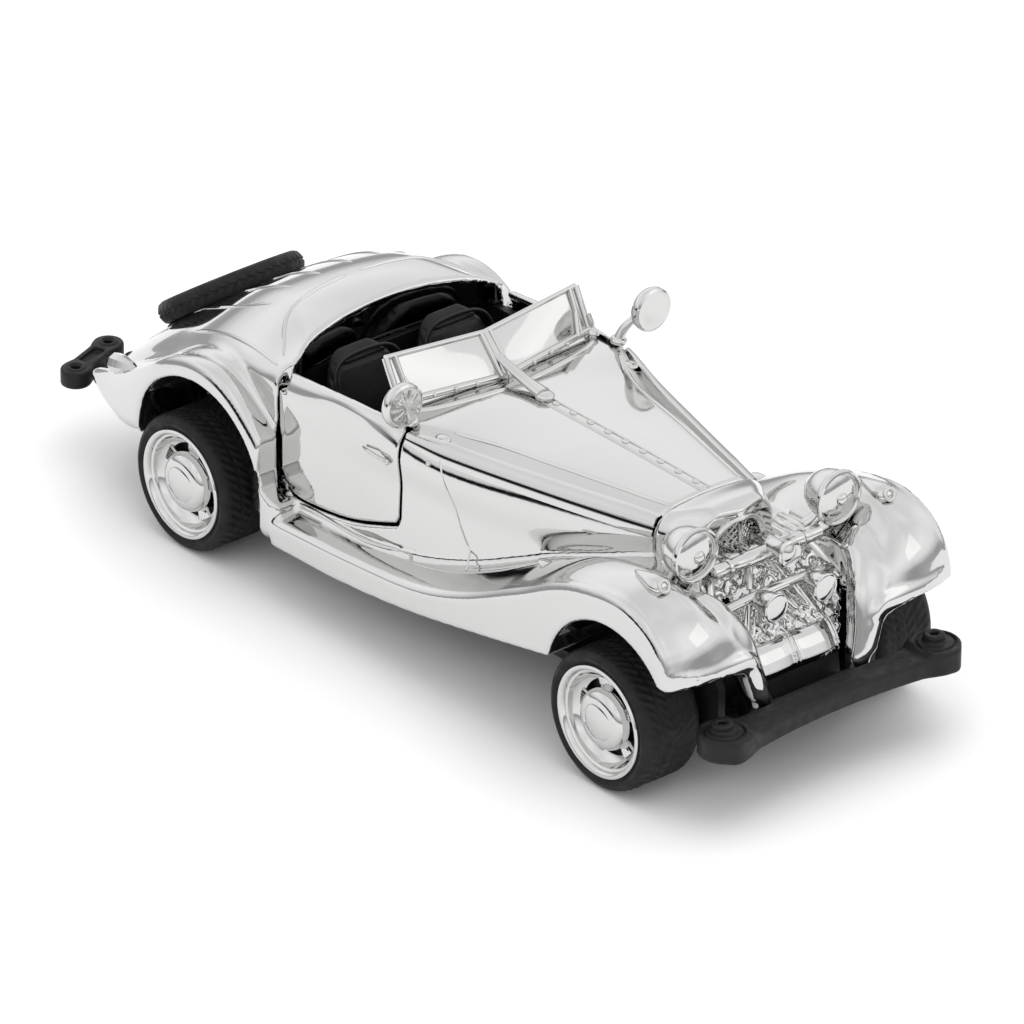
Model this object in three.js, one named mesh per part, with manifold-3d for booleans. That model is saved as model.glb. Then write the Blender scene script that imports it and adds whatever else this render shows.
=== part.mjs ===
// Chrome-plated diecast model of a 1930s long-bonnet roadster, about 1:41, built as an assembly.
// Units are millimetres and +Z is up. The front of the car faces -Y and its right-hand side faces -X.
// The finished group stands on its tyres at Z = 0, with its bounding box centred on X = 0 and Y = 0.
import * as THREE from "three";
import { mergeVertices } from "three/addons/utils/BufferGeometryUtils.js";
import Module from "manifold-3d";

const wasm = await Module();
wasm.setup();

// ---------------------------------------------------------------- driving dimensions
const WHEELBASE = 80;
const AXLE_Y = WHEELBASE / 2; // the front axle is at -AXLE_Y and the rear axle at +AXLE_Y
const FRONT_END_Y = -59.2; // front of the front bumper, measured from mid wheelbase
const REAR_END_Y = 73.6; // rear of the rear bumpers
const GAP = 0.3; // between pieces that touch on the real object
const WALL = 1.3; // casting thickness of the body shell and the doors

const TYRE_R = 9.1;
const WHEEL_OUT_X = 23.6; // outer face of the tyres
const WHEEL_WIDTH = 9.1;
const RIM_R = 7.4;
const RIM_BARREL_R = 6.3;
const AXLE_R = 1;
const AXLE_BORE_R = 1.3;
const AXLE_HALF = 20.5;
const ROUND = 24; // sides of a wheel

const FLOOR_Z = 6.2; // underside of the base plate
const FLOOR_T = 1.4;
const BASE_HALF_X = 16.6;
const BASE_NARROW_X = 12.9; // half width between the wheels

const HINGE_X = 18.6; // door hinge axis
const HINGE_Y = 24.5;
const KNUCKLE_R = 0.95;
const DOOR_SWING = 35; // degrees
const SWING_Z = 13.2; // the rear wings give way to the opened doors above this height
const PIN_R = 0.4;
const PIN_BORE_R = 0.62;

const SPARE = { y: 58.4, z: 22.3, r: 10, width: 3, tilt: 35 }; // tilt in degrees from flat
const SCREWS_Y = [-22, 54];
const BOSS_R = 2.2;
const SCREW_R = 0.8;
const SCREW_HEAD_R = 1.9;

// ---------------------------------------------------------------- materials
const chrome = () => new THREE.MeshStandardMaterial({ color: 0xe4e4e2, roughness: 0.08, metalness: 1 });
const steel = () => new THREE.MeshStandardMaterial({ color: 0xa8abad, roughness: 0.35, metalness: 1 });
const spring = () => new THREE.MeshStandardMaterial({ color: 0x6d7276, roughness: 0.4, metalness: 1 });
const rubber = () => new THREE.MeshStandardMaterial({ color: 0x17181a, roughness: 0.8, metalness: 0 });
const blackPlastic = () => new THREE.MeshStandardMaterial({ color: 0x141416, roughness: 0.5, metalness: 0 });
const gearPlastic = () => new THREE.MeshStandardMaterial({ color: 0xd9d6cc, roughness: 0.5, metalness: 0 });

// ---------------------------------------------------------------- solids
// Closed geometry to a manifold, with shared vertices merged and faces turned outward.
function solid(geometry) {
  const bare = geometry.clone();
  bare.deleteAttribute("normal");
  bare.deleteAttribute("uv");
  const merged = mergeVertices(bare, 1e-4);
  const points = Float32Array.from(merged.attributes.position.array);
  const source = Array.from(merged.index.array);
  const faces = [];
  let volume = 0;
  for (let i = 0; i < source.length; i += 3) {
    const [a, b, c] = source.slice(i, i + 3);
    if (a === b || b === c || c === a) continue;
    faces.push(a, b, c);
    const [p, q, r] = [a, b, c].map((k) => new THREE.Vector3().fromArray(points, 3 * k));
    volume += p.dot(q.cross(r));
  }
  if (volume < 0) faces.reverse();
  return new wasm.Manifold(
    new wasm.Mesh({ numProp: 3, vertProperties: points, triVerts: Uint32Array.from(faces) }),
  );
}

function geometryOf(body) {
  const data = body.getMesh();
  const geometry = new THREE.BufferGeometry();
  geometry.setAttribute("position", new THREE.BufferAttribute(Float32Array.from(data.vertProperties), 3));
  geometry.setIndex(new THREE.BufferAttribute(Uint32Array.from(data.triVerts), 1));
  geometry.computeVertexNormals();
  return geometry;
}

const join = (first, ...rest) => rest.reduce((sum, body) => sum.add(body), first);
const cut = (first, ...rest) => rest.reduce((left, body) => left.subtract(body), first);
const mirrored = (body) => body.mirror([1, 0, 0]);
const bothSides = (body) => body.add(mirrored(body));

// Turns that carry a shape's own axes onto the car's axes.
const ALONG_X = new THREE.Matrix4().makeBasis(
  new THREE.Vector3(0, 1, 0), new THREE.Vector3(0, 0, 1), new THREE.Vector3(1, 0, 0),
);
const LATHE_X = new THREE.Matrix4().makeBasis(
  new THREE.Vector3(0, 0, 1), new THREE.Vector3(1, 0, 0), new THREE.Vector3(0, 1, 0),
);
const LATHE_Y = new THREE.Matrix4();
const LATHE_Z = new THREE.Matrix4().makeRotationX(Math.PI / 2);

function extrude(outline, depth, matrix) {
  const shape = new THREE.Shape(outline.map(([u, v]) => new THREE.Vector2(u, v)));
  const geometry = new THREE.ExtrudeGeometry(shape, { depth, bevelEnabled: false, curveSegments: 8 });
  return solid(geometry.applyMatrix4(matrix));
}

// [y, z] outline from x0 to x1, and [x, y] outline from z0 to z1.
const prismX = (outline, x0, x1) =>
  extrude(outline, x1 - x0, new THREE.Matrix4().makeTranslation(x0, 0, 0).multiply(ALONG_X));
const prismZ = (outline, z0, z1) => extrude(outline, z1 - z0, new THREE.Matrix4().makeTranslation(0, 0, z0));

function block([x0, x1], [y0, y1], [z0, z1]) {
  const geometry = new THREE.BoxGeometry(x1 - x0, y1 - y0, z1 - z0);
  return solid(geometry.translate((x0 + x1) / 2, (y0 + y1) / 2, (z0 + z1) / 2));
}

// [radius, height] profile turned about an axis. It starts and ends on the axis, or closes on itself.
function lathe(profile, matrix, sides = ROUND, close = false) {
  const points = profile.map(([r, h]) => new THREE.Vector2(r, h));
  if (close) points.push(points[0].clone());
  return solid(new THREE.LatheGeometry(points, sides).applyMatrix4(matrix));
}

function rod(from, to, radius, sides = 12) {
  const start = new THREE.Vector3(...from);
  const along = new THREE.Vector3(...to).sub(start);
  const geometry = new THREE.CylinderGeometry(radius, radius, along.length(), sides);
  geometry.translate(0, along.length() / 2, 0);
  const turn = new THREE.Quaternion().setFromUnitVectors(new THREE.Vector3(0, 1, 0), along.normalize());
  return solid(geometry.applyQuaternion(turn).translate(...from));
}

function ball([x, y, z], [rx, ry, rz], sides = 12) {
  return solid(new THREE.SphereGeometry(1, sides, sides / 2).scale(rx, ry, rz).translate(x, y, z));
}

// Skin through closed sections with equal point counts, all square to X or all square to Y, capped at both ends.
// The finished points may be bent.
function loft(sections, bend = (point) => point) {
  const squareToX = sections[0].every(([x]) => x === sections[0][0][0]);
  const flat = (ring) => ring.map(([x, y, z]) => new THREE.Vector2(squareToX ? y : x, z));
  const clockwise = THREE.ShapeUtils.isClockWise(flat(sections[0]));
  const rings = sections.map((ring) => (clockwise ? [...ring].reverse() : ring));
  const count = rings[0].length;
  const last = (rings.length - 1) * count;
  const faces = [];
  for (let start = 0; start < last; start += count) {
    for (let i = 0; i < count; i++) {
      const [a, b] = [start + i, start + ((i + 1) % count)];
      faces.push(a, b, b + count, a, b + count, a + count);
    }
  }
  for (const [a, b, c] of THREE.ShapeUtils.triangulateShape(flat(rings[0]), [])) faces.push(a, c, b);
  for (const [a, b, c] of THREE.ShapeUtils.triangulateShape(flat(rings.at(-1)), [])) {
    faces.push(last + a, last + b, last + c);
  }
  const geometry = new THREE.BufferGeometry();
  geometry.setAttribute("position", new THREE.Float32BufferAttribute(rings.flat().flatMap(bend), 3));
  geometry.setIndex(faces);
  return solid(geometry);
}

// Smooth open curve through a few hand-placed points.
function curve(points, steps) {
  const spline = new THREE.SplineCurve(points.map(([u, v]) => new THREE.Vector2(u, v)));
  return spline.getPoints(steps).map((p) => [p.x, p.y]);
}

// Open curve moved to the right of its own direction.
function inset(points, distance) {
  return points.map(([u, v], i) => {
    const [before, after] = [points[Math.max(i - 1, 0)], points[Math.min(i + 1, points.length - 1)]];
    const along = new THREE.Vector2(after[0] - before[0], after[1] - before[1]).normalize();
    return [u + along.y * distance, v - along.x * distance];
  });
}

function arc(cx, cy, r, fromDeg, toDeg, steps) {
  return Array.from({ length: steps + 1 }, (_, i) => {
    const a = THREE.MathUtils.degToRad(fromDeg + ((toDeg - fromDeg) * i) / steps);
    return [cx + r * Math.cos(a), cy + r * Math.sin(a)];
  });
}

// ---------------------------------------------------------------- body shape
// Stations of the hull, from the bonnet's front edge to the tail. Each gives the height on the centre line,
// then [half width, height] of the bonnet edge, the shoulder, the side and the foot.
const HULL = [
  { y: -33, top: 30.1, edge: [5.6, 29.8], shoulder: [8.0, 27.6], side: [8.8, 20], foot: [9.5, 12] },
  { y: -18, top: 30.4, edge: [9.4, 30.0], shoulder: [12.2, 27.8], side: [13.2, 20], foot: [14.2, 10] },
  { y: -3, top: 30.4, edge: [13.2, 30.0], shoulder: [16.4, 28.3], side: [17.6, 21], foot: [18.4, 8] },
  { y: 2.6, top: 30.5, edge: [15.6, 30.5], shoulder: [18.2, 29.3], side: [18.9, 22], foot: [19.3, 7.6] },
  { y: 14, top: 31.2, edge: [16.6, 30.2], shoulder: [18.6, 28.9], side: [19.4, 22], foot: [19.6, 7.2] },
  { y: 25.4, top: 33.1, edge: [15.4, 31.2], shoulder: [18.9, 28.6], side: [19.6, 22], foot: [19.8, 7.2] },
  { y: 33, top: 34.0, edge: [14.0, 32.4], shoulder: [18.5, 28.8], side: [19.2, 22], foot: [19.4, 8] },
  { y: 42, top: 31.6, edge: [11.8, 30.6], shoulder: [16.8, 27.0], side: [18.0, 20], foot: [18.0, 9] },
  { y: 50, top: 25.8, edge: [10.0, 25.2], shoulder: [15.4, 22.6], side: [16.8, 17], foot: [16.8, 9.4] },
  { y: 58, top: 19.9, edge: [8.8, 19.6], shoulder: [14.2, 17.8], side: [15.4, 14.4], foot: [15.4, 10.2] },
  { y: 67.6, top: 13.9, edge: [7.4, 13.8], shoulder: [11.6, 13.0], side: [12.6, 12.2], foot: [12.6, 11] },
];

// Closed hull section, moved inward by an inset. The inner one runs on downward, so the shell is open below.
function hullSection({ y, top, edge, shoulder, side, foot }, inset) {
  const round = [(edge[0] + 2 * shoulder[0]) / 3, (2 * edge[1] + shoulder[1]) / 3 + 0.25];
  const half = [edge, round, shoulder, side, foot];
  const slopes = [0.12, 0.62, 0.95, 1, 1]; // share of the inset taken sideways at each point
  const right = half.map(([w, z], i) => [w - inset * slopes[i], z - inset * Math.sqrt(1 - slopes[i] ** 2)]);
  const open = inset > 0 ? [[right.at(-1)[0], -1]] : [];
  const line = [...right, ...open];
  const outline = [[0, top - inset], ...line, ...line.map(([w, z]) => [-w, z]).reverse()];
  return outline.map(([x, z]) => [x, y, z]);
}

const hullSolid = (inset) => loft(HULL.map((station) => hullSection(station, inset)));

// The room inside the hull, cut short behind the tail's end wall.
function hullRoom() {
  const tail = block([-30, 30], [HULL.at(-1).y - WALL, 99], [-9, 60]);
  return cut(hullSolid(WALL), tail);
}

// Front wing and running board, as [y, z] curves across the car from the outer lip inward.
const SILL = [[22, 7.7], [8, 8.2], [-4, 9.4], [-18, 11.8], [-29.5, 14]];
const FRONT_ARCH = curve([[-30.5, 15], [-32.6, 18.6], [-36.8, 21.6], [-42, 22.7], [-47.6, 20.8], [-51.3, 17.8]], 10);
const WING_OUTER = curve(
  [[-53, 18.1], [-52.4, 21], [-49.4, 24.4], [-43, 27], [-36.5, 26.1], [-30.2, 24.2], [-22.7, 20.2],
    [-14, 15.8], [-5, 13.4], [6, 12.2], [22, 11.4]], 18,
);
const WING_CREST = curve(
  [[-53.4, 17.8], [-53, 21.4], [-50, 25.4], [-43.5, 28.2], [-37, 27.6], [-31, 25.8], [-23.5, 22.0],
    [-14, 17.2], [-5, 14.2], [6, 12.8], [22, 12.0]], 18,
);
const WING_INNER = curve(
  [[-53.2, 16.8], [-52.6, 19.6], [-49.6, 22.6], [-44.5, 23.8], [-38, 23.9], [-31, 23.2], [-23.5, 20.5],
    [-14, 17.0], [-5, 14.2], [6, 12.8], [22, 12.0]], 18,
);

function frontWing() {
  const under = [...SILL, ...FRONT_ARCH];
  const section = (x, upper) => [...under, ...upper].map(([y, z]) => [x, y, z]);
  const lowered = WING_OUTER.map(([y, z]) => [y, z - 0.9]);
  const rows = [
    [WHEEL_OUT_X - 0.1, lowered], [WHEEL_OUT_X - 0.7, WING_OUTER], [17.2, WING_CREST], [11, WING_INNER],
  ];
  const claw = prismX(
    [[-44, 17], [-44, 23.6], [-49, 21.6], [-51.6, 18.4], [-53, 9.8], [-51.6, 9.8], [-49.4, 15]], 7.6, 11.2,
  );
  const taper = prismX([[-40, 8], [-60, 8], [-60, 16.6], [-40, 16.6]], 8.9, 12);
  return join(loft(rows.map(([x, upper]) => section(x, upper))), cut(claw, taper));
}

const REAR_ARCH = curve(
  [[22.6, 8.2], [23.4, 13.5], [26, 19.7], [30.4, 23.2], [35.9, 24.6], [41.6, 23.2], [46.1, 19.8], [48.6, 14.2]], 12,
);
const TAIL_Y = [44, 68]; // over this length the rear wings close in by TAIL_TAPER on each side
const TAIL_TAPER = 5;
const LIP_X = 21.9; // the arches have a thin lip outside this
const REAR_WELL = curve(
  [[27.3, 8.2], [27.3, 13], [27.8, 18.4], [31, 22.8], [35.9, 24.6], [41.6, 23.2], [46.6, 19.8], [50, 13]], 12,
);
const REAR_RIDGE = curve(
  [[20.8, 8.2], [21.6, 14], [25.4, 21], [30.8, 26.1], [36.4, 27.6], [42.5, 26], [50, 21.2], [58, 16.8], [64.4, 14]], 14,
);
const REAR_TAIL = [[65, 13], [61.5, 11.3], [57, 10.7], [53.4, 11.2], [50.6, 12.6]];

function rearWing() {
  const section = (x, depth, arch) =>
    [...inset(REAR_RIDGE, depth), ...REAR_TAIL, ...[...arch].reverse()].map(([y, z]) => [x, y, z]);
  const narrowed = ([x, y, z]) => {
    const share = THREE.MathUtils.smoothstep(y, TAIL_Y[0], TAIL_Y[1]);
    return [x > 11 ? x - TAIL_TAPER * share : x, y, z];
  };
  const wing = loft([
    section(WHEEL_OUT_X - 0.1, 0.6, REAR_ARCH), section(WHEEL_OUT_X - 0.8, 0, REAR_ARCH),
    section(LIP_X, 0, REAR_ARCH), section(LIP_X - 0.3, 0, REAR_WELL), section(18.6, 0.3, REAR_WELL),
    section(10.4, 0.8, REAR_WELL),
  ], narrowed);
  return cut(wing, swingRoom());
}

// Room that an opened door sweeps beside its hinge, above the sill.
function swingRoom() {
  const a = THREE.MathUtils.degToRad(DOOR_SWING);
  const [outX, outY] = [HINGE_X + 1.7 * Math.cos(a), HINGE_Y + 1.7 * Math.sin(a)];
  const outline = [[outX, outY], [outX + 12 * Math.sin(a), outY - 12 * Math.cos(a)], [40, -5], [15, -5], [15, outY]];
  return prismZ(outline, SWING_Z, 60);
}

// Wheel wells through the hull sides, in the outline of each well.
function wheelWells() {
  const front = [...FRONT_ARCH, [-51.3, -1], [-30.5, -1]];
  const rear = [...REAR_WELL, [50, -1], [27.3, -1]];
  const room = BASE_NARROW_X + GAP;
  return bothSides(join(prismX(front, room, 40), prismX(rear, room, LIP_X - 0.3)));
}

const COCKPIT_FRONT_Y = 7.2;
const COCKPIT_HALF = 17.4;
function cockpitCut() {
  const rear = curve([[COCKPIT_HALF, 22.5], [16.2, 25], [9, 26.4], [0, 26.8]], 8);
  const half = [[COCKPIT_HALF, COCKPIT_FRONT_Y], ...rear];
  const outline = [...half, ...half.slice(0, -1).map(([x, y]) => [-x, y]).reverse()];
  return prismZ(outline, 15, 60);
}

// ---------------------------------------------------------------- doors
const DOOR = { front: 2.8, rear: HINGE_Y, bottomFront: 17.2, bottomRear: 13.6 };
const KNUCKLE_Z = [14.4, 27];

// Side view of the door as [y, z], grown outward by a margin.
function doorOutline(margin) {
  const { front, rear, bottomFront, bottomRear } = DOOR;
  return [
    [front - margin, bottomFront - margin], [11, 15 - margin], [rear - 5, bottomRear - margin],
    [rear - 1.4, bottomRear + 0.7 - margin], [rear, bottomRear + 2.4 - margin / 2], [rear, 40], [front - margin, 40],
  ];
}

// Door opening: its rear edge is a round cove about the hinge axis, so the knuckle turns inside it.
function doorCut(margin) {
  const [low, high] = [[HINGE_X, HINGE_Y, DOOR.bottomRear + 1 - margin], [HINGE_X, HINGE_Y, 40]];
  const cove = rod(low, high, KNUCKLE_R + 1.5 * margin, 20);
  return join(prismX(doorOutline(margin), 16, 26), cove);
}

function doorPanel() {
  const skin = cut(hullSolid(0), hullSolid(WALL), block([-40, 40], [-60, 80], [-9, 8]));
  const panel = skin.intersect(prismX(doorOutline(0), COCKPIT_HALF, 26));
  const knuckle = rod([HINGE_X, HINGE_Y, KNUCKLE_Z[0]], [HINGE_X, HINGE_Y, KNUCKLE_Z[1]], KNUCKLE_R, 20);
  const bore = rod([HINGE_X, HINGE_Y, 0], [HINGE_X, HINGE_Y, 50], PIN_BORE_R, 12);
  const handle = join(
    rod([19.6, 8.6, 25.6], [19.6, 5.2, 25.6], 0.35, 8), rod([18.4, 5.4, 25.6], [19.6, 5.4, 25.6], 0.35, 8),
  );
  return join(cut(join(panel, knuckle), bore), handle);
}

// ---------------------------------------------------------------- body shell
function bodyShell() {
  const hollow = hullRoom();
  const bare = join(hullSolid(0), bothSides(frontWing()), bothSides(rearWing()));
  const shell = cut(bare, hollow, wheelWells(), cockpitCut());
  const hingeBlock = block([17.3, 19.4], [22.6, 26.6], [8.4, 13.2]);
  const pinHole = rod([HINGE_X, HINGE_Y, 9.6], [HINGE_X, HINGE_Y, 30], PIN_BORE_R, 12);
  const doorway = cut(doorCut(GAP), block([0, 40], [-60, 80], [-9, 13.1]));
  const bosses = SCREWS_Y.map((y, i) => {
    const roof = i === 0 ? 29.5 : 21.7;
    return cut(
      rod([0, y, FLOOR_Z + FLOOR_T + GAP], [0, y, roof], BOSS_R, 14), rod([0, y, 0], [0, y, 16.4], SCREW_R + GAP, 10),
    );
  });
  return cut(join(shell, bothSides(hingeBlock), ...bosses), bothSides(doorway), bothSides(pinHole));
}

// ---------------------------------------------------------------- front end
const NOSE = [
  { y: -33 - GAP, top: 30.1, edge: [5.6, 29.8], shoulder: [8.0, 27.6], side: [8.6, 20], foot: [8.8, 14] },
  { y: -37, top: 30.7, edge: [4.6, 30.2], shoulder: [6.4, 27.6], side: [7.0, 20], foot: [7.0, 14] },
  { y: -39.2, top: 30.3, edge: [4.0, 29.8], shoulder: [5.6, 27.4], side: [6.0, 20], foot: [6.2, 14] },
];

function radiatorShell() {
  const outer = loft(NOSE.map((station) => hullSection(station, 0)));
  const inner = loft(NOSE.map((station, i) => hullSection({ ...station, y: station.y + (i ? -1 : 1) }, WALL)));
  return cut(outer, inner);
}

// V-shaped grille with a prow on the centre line and a round top.
function grille() {
  const vee = (y) => [[-4, y + 1.6], [0, y], [4, y + 1.6]];
  const back = vee(-37.6).map(([x, y]) => [x, y]).reverse();
  const plate = prismZ([...vee(-39.7), ...back], 14.5, 28.4);
  const arch = lathe([[0, -45], [4, -45], [4, -30], [0, -30]], LATHE_Y, 20).translate([0, 0, 24.4]);
  const lower = block([-5, 5], [-45, -30], [10, 24.4]);
  return plate.intersect(join(arch, lower));
}

function frontFrame() {
  const profile = [[-40.4, 14.2], [-40.4, 21.4], [-42, 22.4], [-44.2, 21], [-47.4, 16.6], [-47, 14.2]];
  const ribs = [-4.4, -1.6, 1.6, 4.4].map((x) => rod([x, -41, 21.4], [x, -46.4, 16.8], 0.7, 8));
  return join(prismX(profile, -6.9, 6.9), ...ribs);
}

function frontApron() {
  const profile = [[-47.8, 16.1], [-48.6, 15.6], [-50.3, 12.8], [-49.2, 12.6], [-47.6, 14.6]];
  const beads = [-5.2, -2.6, 0, 2.6, 5.2].map((x) => rod([x, -48.2, 15.7], [x, -49.9, 12.9], 0.55, 8));
  return join(prismX(profile, -6.6, 6.6), ...beads);
}

function lampBar() {
  const bar = rod([-8.4, -43.6, 25.8], [8.4, -43.6, 25.8], 0.85);
  const stays = [-2.6, 2.6].map((x) => rod([x, -43.6, 25.8], [x, -43.4, 22.8], 0.6, 8));
  return join(bar, ...stays);
}

const horn = () => lathe([[0, -3.2], [1.5, -2.8], [1.7, -2], [1.2, -1], [1.0, 0.6], [0, 1]], LATHE_Y, 16);
const fogLamp = () => lathe([[0, -1.9], [1.8, -1.7], [1.8, 1.2], [1, 2], [0, 2]], LATHE_Y, 16);
const headlampBucket = () =>
  lathe([[0, -0.9], [3.3, -0.9], [3.3, -2.2], [3.8, -2.2], [3.8, -1.2], [3.4, 0.6], [2.3, 3], [0.9, 4.4], [0, 4.7]],
    LATHE_Y, 20);
const headlampLens = () => lathe([[0, -3.1], [1.7, -2.7], [3, -1.7], [3, -1.2], [0, -1.2]], LATHE_Y, 20);
const signalLamp = () => ball([0, 0, 0], [1.5, 2.8, 1.1], 12);
const tailLamp = () => lathe([[0, -2.2], [0.9, -1.4], [1.2, 0.2], [1.2, 1.2], [0, 1.6]], LATHE_Y, 14);

// ---------------------------------------------------------------- windscreen and mirrors
function windscreen() {
  const pane = (x, low, high) => {
    const [lowY, lowZ] = low;
    const [highY, highZ] = high;
    const ring = [[lowY, lowZ], [lowY + 1.2, lowZ], [highY + 0.9, highZ], [highY, highZ]];
    return ring.map(([y, z]) => [x, y, z]);
  };
  const corner = [[6.6, 31.3], [9.4, 36.6]];
  const glass = loft([pane(-15.5, ...corner), pane(0, [4.4, 30.9], [8.7, 35.4]), pane(15.5, ...corner)]);
  const sill = bothSides(rod([0, 4.3, 31.4], [15.4, 6.6, 31.7], 0.55, 8));
  const strut = join(rod([0, -2.4, 31.5], [0, 5.2, 32.4], 0.8, 8), ball([0, -2.4, 31.5], [1.1, 1.1, 0.6], 10));
  return join(glass, sill, strut);
}

function spotMirror() {
  const disc = lathe([[0, -1.2], [2.6, -0.9], [3, -0.2], [2.7, 0.9], [1.2, 1.6], [0, 1.8]], LATHE_Y, 18);
  const arm = join(rod([3.2, 1.2, -2.9], [0.4, 0.3, -2.2], 0.6, 8), rod([3.2, 2, -3.7], [3.2, 1.2, -2.6], 0.7, 8));
  return join(disc, arm);
}

// ---------------------------------------------------------------- cabin
function interiorTub() {
  const outer = block([-16.9, 16.9], [5.6, 27.4], [12.4, 27.4]);
  const inner = block([-15.8, 15.8], [4, 26.4], [13.6, 40]);
  const hingeRoom = rod([HINGE_X, HINGE_Y, 0], [HINGE_X, HINGE_Y, 50], KNUCKLE_R + 2 * GAP, 16);
  return cut(outer, inner, bothSides(hingeRoom));
}

function seat() {
  const back = prismX(curve([[17.6, 17.6], [20.2, 17.6], [25.4, 29.2], [24.4, 30.2], [22.4, 29.4], [19.2, 21.8]], 12), -6.4, 6.4);
  const cushion = block([-6.4, 6.4], [9.6, 21], [14, 18.2]);
  return join(back, cushion);
}

const dashboard = () => join(block([-15.5, 15.5], [5.9, 8.2], [23.4, 27]), rod([-9, 6.5, 25], [9, 6.5, 25], 1.1, 10));

function steeringWheel() {
  const ring = solid(new THREE.TorusGeometry(3.6, 0.4, 5, 16));
  const spokes = [0, 60, 120].map((deg) => {
    const a = THREE.MathUtils.degToRad(deg);
    const tip = [3.5 * Math.cos(a), 3.5 * Math.sin(a), 0];
    return rod(tip.map((v) => -v), tip, 0.3, 6);
  });
  return join(ring, ...spokes, rod([0, 0, -4.6], [0, 0, 0.5], 0.6, 8));
}

// ---------------------------------------------------------------- chassis
function basePlate() {
  const half = [
    [6.8, -50.4], [BASE_NARROW_X, -49.6], [BASE_NARROW_X, -16], [BASE_HALF_X, -2], [BASE_HALF_X, 20.6],
    [BASE_NARROW_X, 22], [BASE_NARROW_X, 50], [11.4, 58], [8.6, 64],
  ];
  const outline = [...half, ...half.map(([x, y]) => [-x, y]).reverse()];
  const plate = prismZ(outline, FLOOR_Z, FLOOR_Z + FLOOR_T);
  const wellWall = prismX(
    [[-50, FLOOR_Z], [-50, 14], [-46.6, 18.6], [-42, 20.4], [-37.4, 19.4], [-33.6, 16], [-31.4, 12], [-31, FLOOR_Z]],
    BASE_NARROW_X - 1.1, BASE_NARROW_X,
  );
  const rearWall = prismX(
    [[28, FLOOR_Z], [28, 16], [31.2, 21], [36, 23], [41.4, 21.4], [46, 18], [49.4, 12], [49.6, FLOOR_Z]],
    BASE_NARROW_X - 1.1, BASE_NARROW_X,
  );
  const chin = prismX([[-50.4, FLOOR_Z], [-50.6, 9], [-52.2, 10.9], [-52.2, 9.4], [-51.4, FLOOR_Z + 0.6]], -7, 7);
  const chinWall = prismX([[-47, FLOOR_Z], [-47, 12.2], [-49.6, 12.2], [-50.6, FLOOR_Z]], -7, 7);
  const saddles = [-AXLE_Y, AXLE_Y].map((y) =>
    join(...[-1, 1].map((side) => {
      const x = [side * 9.6, side * BASE_NARROW_X].sort((a, b) => a - b);
      return block(x, [y - 3, y + 3], [FLOOR_Z + 0.2, 11.6]);
    })));
  const slots = [-AXLE_Y, AXLE_Y].map((y) =>
    join(rod([-30, y, TYRE_R], [30, y, TYRE_R], AXLE_BORE_R), block([-30, 30], [y - AXLE_BORE_R, y + AXLE_BORE_R], [TYRE_R, 30])));
  const holes = SCREWS_Y.map((y) => rod([0, y, 0], [0, y, 20], SCREW_R + GAP, 12));
  const rails = [[CASE_X[0] - GAP - 1, CASE_X[0] - GAP], [CASE_X[1] + 1 + 2 * GAP, CASE_X[1] + 2 + 2 * GAP]];
  const motorSeat = rails.map((x) => block(x, [29, 36], [FLOOR_Z + 0.2, 10.5]));
  const gearWindow = block([GEAR_X[0] - 0.5, GEAR_X[1] + 0.5], [AXLE_Y - 3.4, AXLE_Y + 3.4], [0, FLOOR_Z + FLOOR_T + 1]);
  const raised = join(plate, bothSides(wellWall), bothSides(rearWall), chin, chinWall, ...saddles, ...motorSeat);
  return cut(raised, ...slots, ...holes, gearWindow);
}

function frontBumper() {
  const lobe = [17.3, -55.9];
  const half = [
    [0, -53.6], [7, -53.6], [13.6, -53.2], ...arc(lobe[0], lobe[1], 3.3, 110, -110, 10), [13.4, -58.2], [0, -57.4],
  ];
  const outline = [...half, ...half.slice(1, -1).map(([x, y]) => [-x, y]).reverse()];
  const blade = prismZ(outline, 9.5, 12.4);
  const lobes = bothSides(join(
    rod([lobe[0], lobe[1], 9.7], [lobe[0], lobe[1], 12.9], 3.3, 20),
    rod([lobe[0], lobe[1], 12], [lobe[0], lobe[1], 13.7], 1.2, 12),
  ));
  const tongue = block([-6.4, 6.4], [-55, -52.5], [9.7, 11]);
  return join(blade, lobes, tongue);
}

// Quarter bumper with two dimpled lobes, on a bracket that reaches back under the tail.
function rearBumper() {
  const [outer, inner] = [[17.6, 68.5], [9.9, 71.5]];
  const across = new THREE.Vector2(outer[1] - inner[1], inner[0] - outer[0]).normalize().multiplyScalar(1.7);
  const web = [
    [outer[0] + across.x, outer[1] + across.y], [inner[0] + across.x, inner[1] + across.y],
    [inner[0] - across.x, inner[1] - across.y], [outer[0] - across.x, outer[1] - across.y],
  ];
  const lobes = [outer, inner].map(([x, y]) => rod([x, y, 9.6], [x, y, 12], 2.1, 16));
  const dimples = [outer, inner].map(([x, y]) => rod([x, y, 11.2], [x, y, 14], 0.7, 10));
  const arm = prismZ([[14.4, 69], [12, 70], [9.8, 64.8], [9.6, 59.6], [11, 59.6], [11.8, 64]], 8.3, 9.9);
  return cut(join(prismZ(web, 9.7, 11.4), ...lobes, arm), ...dimples);
}

const screw = (length) => join(
  rod([0, 0, 0], [0, 0, length], SCREW_R, 10), rod([0, 0, -1], [0, 0, 0.1], SCREW_HEAD_R, 14),
);

// ---------------------------------------------------------------- wheels
// Lathe heights run outward from the wheel's inner face.
function tyre() {
  const [w, r] = [WHEEL_WIDTH, TYRE_R];
  const [bead, well] = [RIM_BARREL_R + GAP, RIM_R + GAP];
  return lathe(
    [[bead, 0.4], [r - 1.2, 0], [r, 1.4], [r, w - 1.4], [r - 1, w], [well, w], [well, w - 1.6], [bead, w - 1.6]],
    LATHE_X, ROUND, true,
  );
}

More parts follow.
